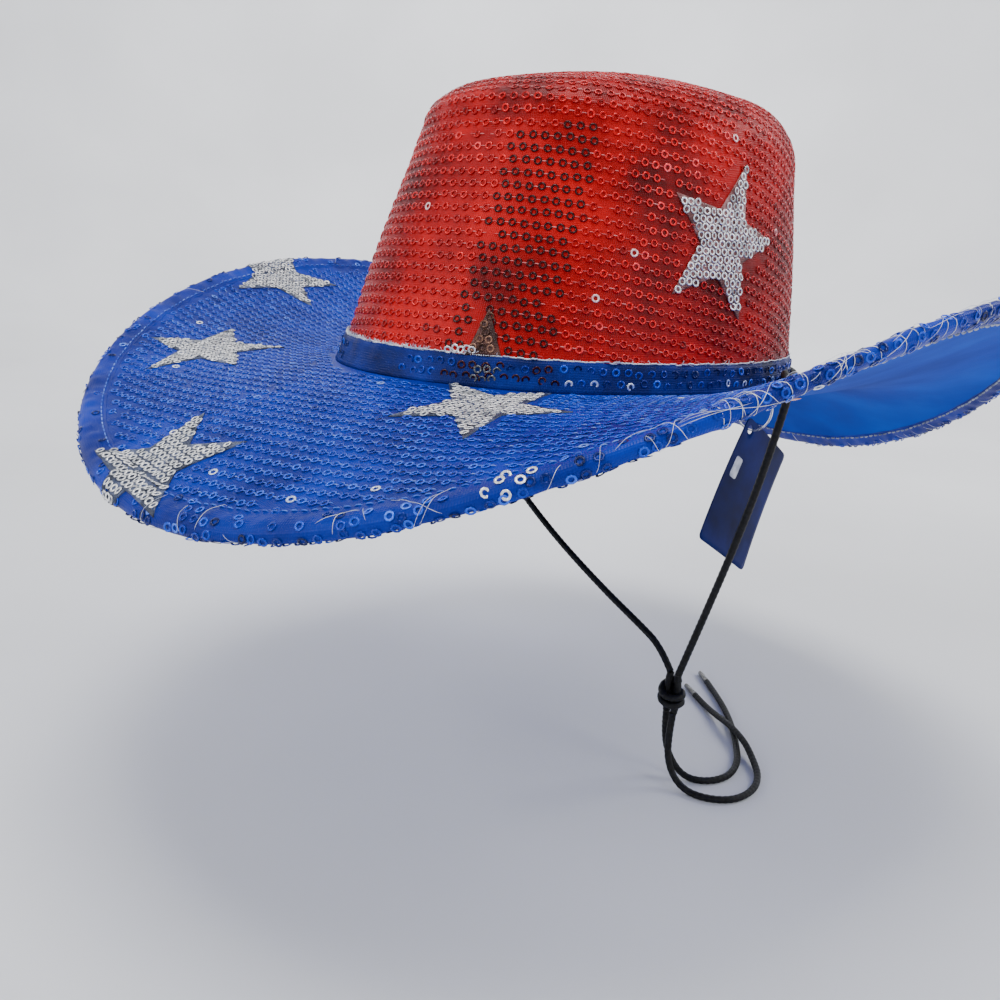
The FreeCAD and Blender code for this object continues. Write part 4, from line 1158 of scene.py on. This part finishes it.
# %% Knot and tips
step = np.linspace(0, 1, 90)
strands = []
for sign in (1, -1):
    core = KNOT_TOP + stack(sign * (1.9 + 0.3 * np.sin(np.pi * step)), sign * 0.5 * np.sin(np.pi * step),
                            -KNOT_LENGTH * step)
    strands.append(core)
for rise in (0.0, 3.2):
    wind = 2 * np.pi * (1.35 * step + 0.1)
    swell = 3.7 * np.sin(np.pi * np.clip(step * 1.06 - 0.03, 0, 1)) ** 0.35
    turn_line = KNOT_TOP + stack((swell + 1.0) * np.cos(wind), (swell + 0.4) * np.sin(wind),
                                 -4.4 - rise - 6.4 * step + 1.5 * np.sin(wind))
    strands.append(turn_line)
for index, line in enumerate(strands):
    part = tube(f"cord_knot_strand_{index + 1}", resample(line, 0.5), 1.46, braid, sides=24,
                relief=braid_relief)
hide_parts("cord_knot")
for label, name in (("inner", "cord_inner_tail"), ("outer", "cord_outer_tail")):
    line = cord_lines[name]
    heading = unit(line[-1] - line[-3])
    step = np.linspace(0, 1, 26)
    tip_line = line[-1] + heading * (12.0 * step - 0.3)[:, None]
    size = 1.5 - 0.35 * np.sqrt(step) - 0.75 * np.clip((step - 0.93) / 0.07, 0, 1) ** 2
    tip = tube(f"cord_tip_{label}_sealed", tip_line, size, melted, sides=20,
               relief=lambda turn, distance: 0.05 * np.sin(3 * turn + distance))
    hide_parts(f"cord_tip_{label}")

# %% [markdown]
# ## Hang tag and its loop
# A varnished card hangs by a corner hole from a clear nylon loop through the sweatband. The card has
# taken a slight curl and twist. It swings on the loop, so it rides on its own body.

# %% Hang tag
TAG_PIVOT = np.array([69.548, 36.5, -18.0])
CARD_WIDTH = 36.0
CARD_HEIGHT = 54.0
HOLE_INSET = 4.0
TAG_TURN = math.atan2(CARD_WIDTH / 2 - HOLE_INSET, CARD_HEIGHT / 2 - HOLE_INSET)


def tag_place(across, down, lift):
    """From the card's own directions to the hat: it hangs turned about the X axis through its hole."""
    y = across * math.cos(TAG_TURN) - down * math.sin(TAG_TURN)
    z = -across * math.sin(TAG_TURN) - down * math.cos(TAG_TURN)
    curl = 2.6 * (down / 50) ** 2 - 0.0022 * (across - 14) ** 2 * 0.8 + 0.0011 * across * down
    return TAG_PIVOT + stack(lift + curl, y, z)


def rounded(share, low, high, corner):
    """A rectangle's edge with rounded corners, as a closed loop of (across, down) points."""
    quarter = np.linspace(0, np.pi / 2, 7)
    centres = [(high[0] - corner, high[1] - corner), (low[0] + corner, high[1] - corner),
               (low[0] + corner, low[1] + corner), (high[0] - corner, low[1] + corner)]
    loop = np.concatenate([np.array(c) + corner * np.stack([np.cos(quarter + i * np.pi / 2),
                                                            np.sin(quarter + i * np.pi / 2)], axis=1)
                           for i, c in enumerate(centres)])
    loop = np.concatenate([loop, loop[:1]])
    return resample(np.column_stack([loop, np.zeros(len(loop))]), along(loop)[-1] / share)[:-1, :2]


edge_loop = rounded(160, (-HOLE_INSET, -HOLE_INSET), (CARD_WIDTH - HOLE_INSET, CARD_HEIGHT - HOLE_INSET),
                    2.0)
bearing = np.arctan2(edge_loop[:, 1], edge_loop[:, 0])
hole_loop = 1.8 * np.stack([np.cos(bearing), np.sin(bearing)], axis=1)
fans = np.linspace(0, 1, 22)[:, None, None]
sheet = hole_loop[None] * (1 - fans) + edge_loop[None] * fans
front = tag_place(sheet[..., 0], sheet[..., 1], 0.25)
back = tag_place(sheet[..., 0], sheet[..., 1], -0.25)
points = np.concatenate([front, back[::-1]])
uv = np.concatenate([sheet, sheet[::-1]])
tag_card = mesh_object("hang_tag_card", points, grid_faces(len(points), len(edge_loop), True, True, True),
                       card, uv=uv, body="tag")
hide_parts("hang_tag")
patch_loop = rounded(60, (-1.0, 12.0), (3.6, 21.0), 1.0)
fans = np.linspace(0.02, 1, 8)[:, None, None]
middle = patch_loop.mean(axis=0)
sheet = middle * (1 - fans) + patch_loop[None] * fans
front = tag_place(sheet[..., 0], sheet[..., 1], 0.32)
back = tag_place(sheet[..., 0], sheet[..., 1], 0.2)
points = np.concatenate([front, back[::-1]])
faces = grid_faces(len(points), len(patch_loop), True, True, True)
tag_print = mesh_object("hang_tag_pale_patch", points, faces, card_patch,
                        uv=np.concatenate([sheet, sheet[::-1]]), body="tag")

# %% Nylon loop
LOOP_CENTRE = np.array([69.55, 36.5, -9.5])
LOOP_RADIUS = 8.5
NYLON_RADIUS = 0.45
turn = np.linspace(0, 2 * np.pi, 97)[:-1]
ring = LOOP_CENTRE + stack(LOOP_RADIUS * np.sin(turn), 0.25 * np.sin(2 * turn), LOOP_RADIUS * np.cos(turn))
small = np.linspace(0, 2 * np.pi, 12, endpoint=False)
out = unit(ring - LOOP_CENTRE)
section = ring[:, None] + NYLON_RADIUS * (np.cos(small)[None, :, None] * out[:, None]
                                          + np.sin(small)[None, :, None] * np.array([0, 1.0, 0]))
nylon_loop = mesh_object("tag_nylon_loop", section, grid_faces(96, 12, True, True), nylon)
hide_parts("tag_loop")

# %% [markdown]
# ## Hidden layers
# The stiff sheets, the hem's wire and the sleeve on its join stay as the CAD made them, because the
# cloth covers them. They take a matt white or a bright steel finish.

# %% Finishes of hidden layers
for node_name, material in (("crown_stiffener", felt), ("brim_stiffener", felt), ("brim_wire", steel),
                            ("wire_ferrule", steel)):
    node_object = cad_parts[node_name]
    node_object.data.materials.clear()
    node_object.data.materials.append(material)
print("hidden layers finished")

# %% [markdown]
# ## The studio
# A pale paper sweep curves up all round. Four soft square lamps light the hat from above, from the
# left, from behind and from the right, and a fifth brightens the paper behind it.

# %% Studio
FLOOR_LEVEL = -166.5
turn = np.linspace(0, 2 * np.pi, 97)[:-1]
curve = np.linspace(0, np.pi / 2, 16)
profile = np.concatenate([[(1.0, 0.0), (600.0, 0.0)],
                          np.stack([1300 + 900 * np.sin(curve), 900 * (1 - np.cos(curve))], axis=1),
                          [(2200.0, 2600.0)]])
sweep = stack(profile[:, 0:1] * np.cos(turn), profile[:, 0:1] * np.sin(turn), FLOOR_LEVEL + profile[:, 1:2])
mesh = bpy.data.meshes.new("studio_sweep")
faces = grid_faces(len(profile), 96, loop_columns=True)
mesh.from_pydata((sweep.reshape(-1, 3) / 1000).tolist(), [], faces.tolist() + [list(range(96))])
mesh.shade_smooth()
mesh.materials.append(paper)
studio = bpy.data.objects.new("studio_sweep", mesh)
bpy.context.scene.collection.objects.link(studio)


def lamp(name, place, target, size, power):
    """A square soft lamp that faces a point, both in metres."""
    data = bpy.data.lights.new(name, "AREA")
    data.size = size
    data.energy = power
    item = bpy.data.objects.new(name, data)
    bpy.context.scene.collection.objects.link(item)
    item.location = place
    item.rotation_euler = (Vector(target) - Vector(place)).to_track_quat("-Z", "Y").to_euler()


lamp("lamp_above", (0.0, -0.1, 1.4), (0, 0, 0), 0.7, 17)
lamp("lamp_left", (-0.4, -1.5, 0.9), (0, 0, 0), 0.6, 10)
lamp("lamp_behind", (0.5, 1.4, 1.0), (0, 0, 0), 0.6, 9)
lamp("lamp_right", (1.6, 0.2, 0.6), (0, 0, 0), 0.6, 6)
lamp("lamp_backdrop", (-0.6, 0.6, 1.3), (-1.9, 1.7, 0.4), 0.9, 26)
world = bpy.data.worlds.new("studio_world")
bpy.context.scene.world = world
world.use_nodes = True
world.node_tree.nodes["Background"].inputs["Color"].default_value = linear("#e6e8ec")
world.node_tree.nodes["Background"].inputs["Strength"].default_value = 0.5
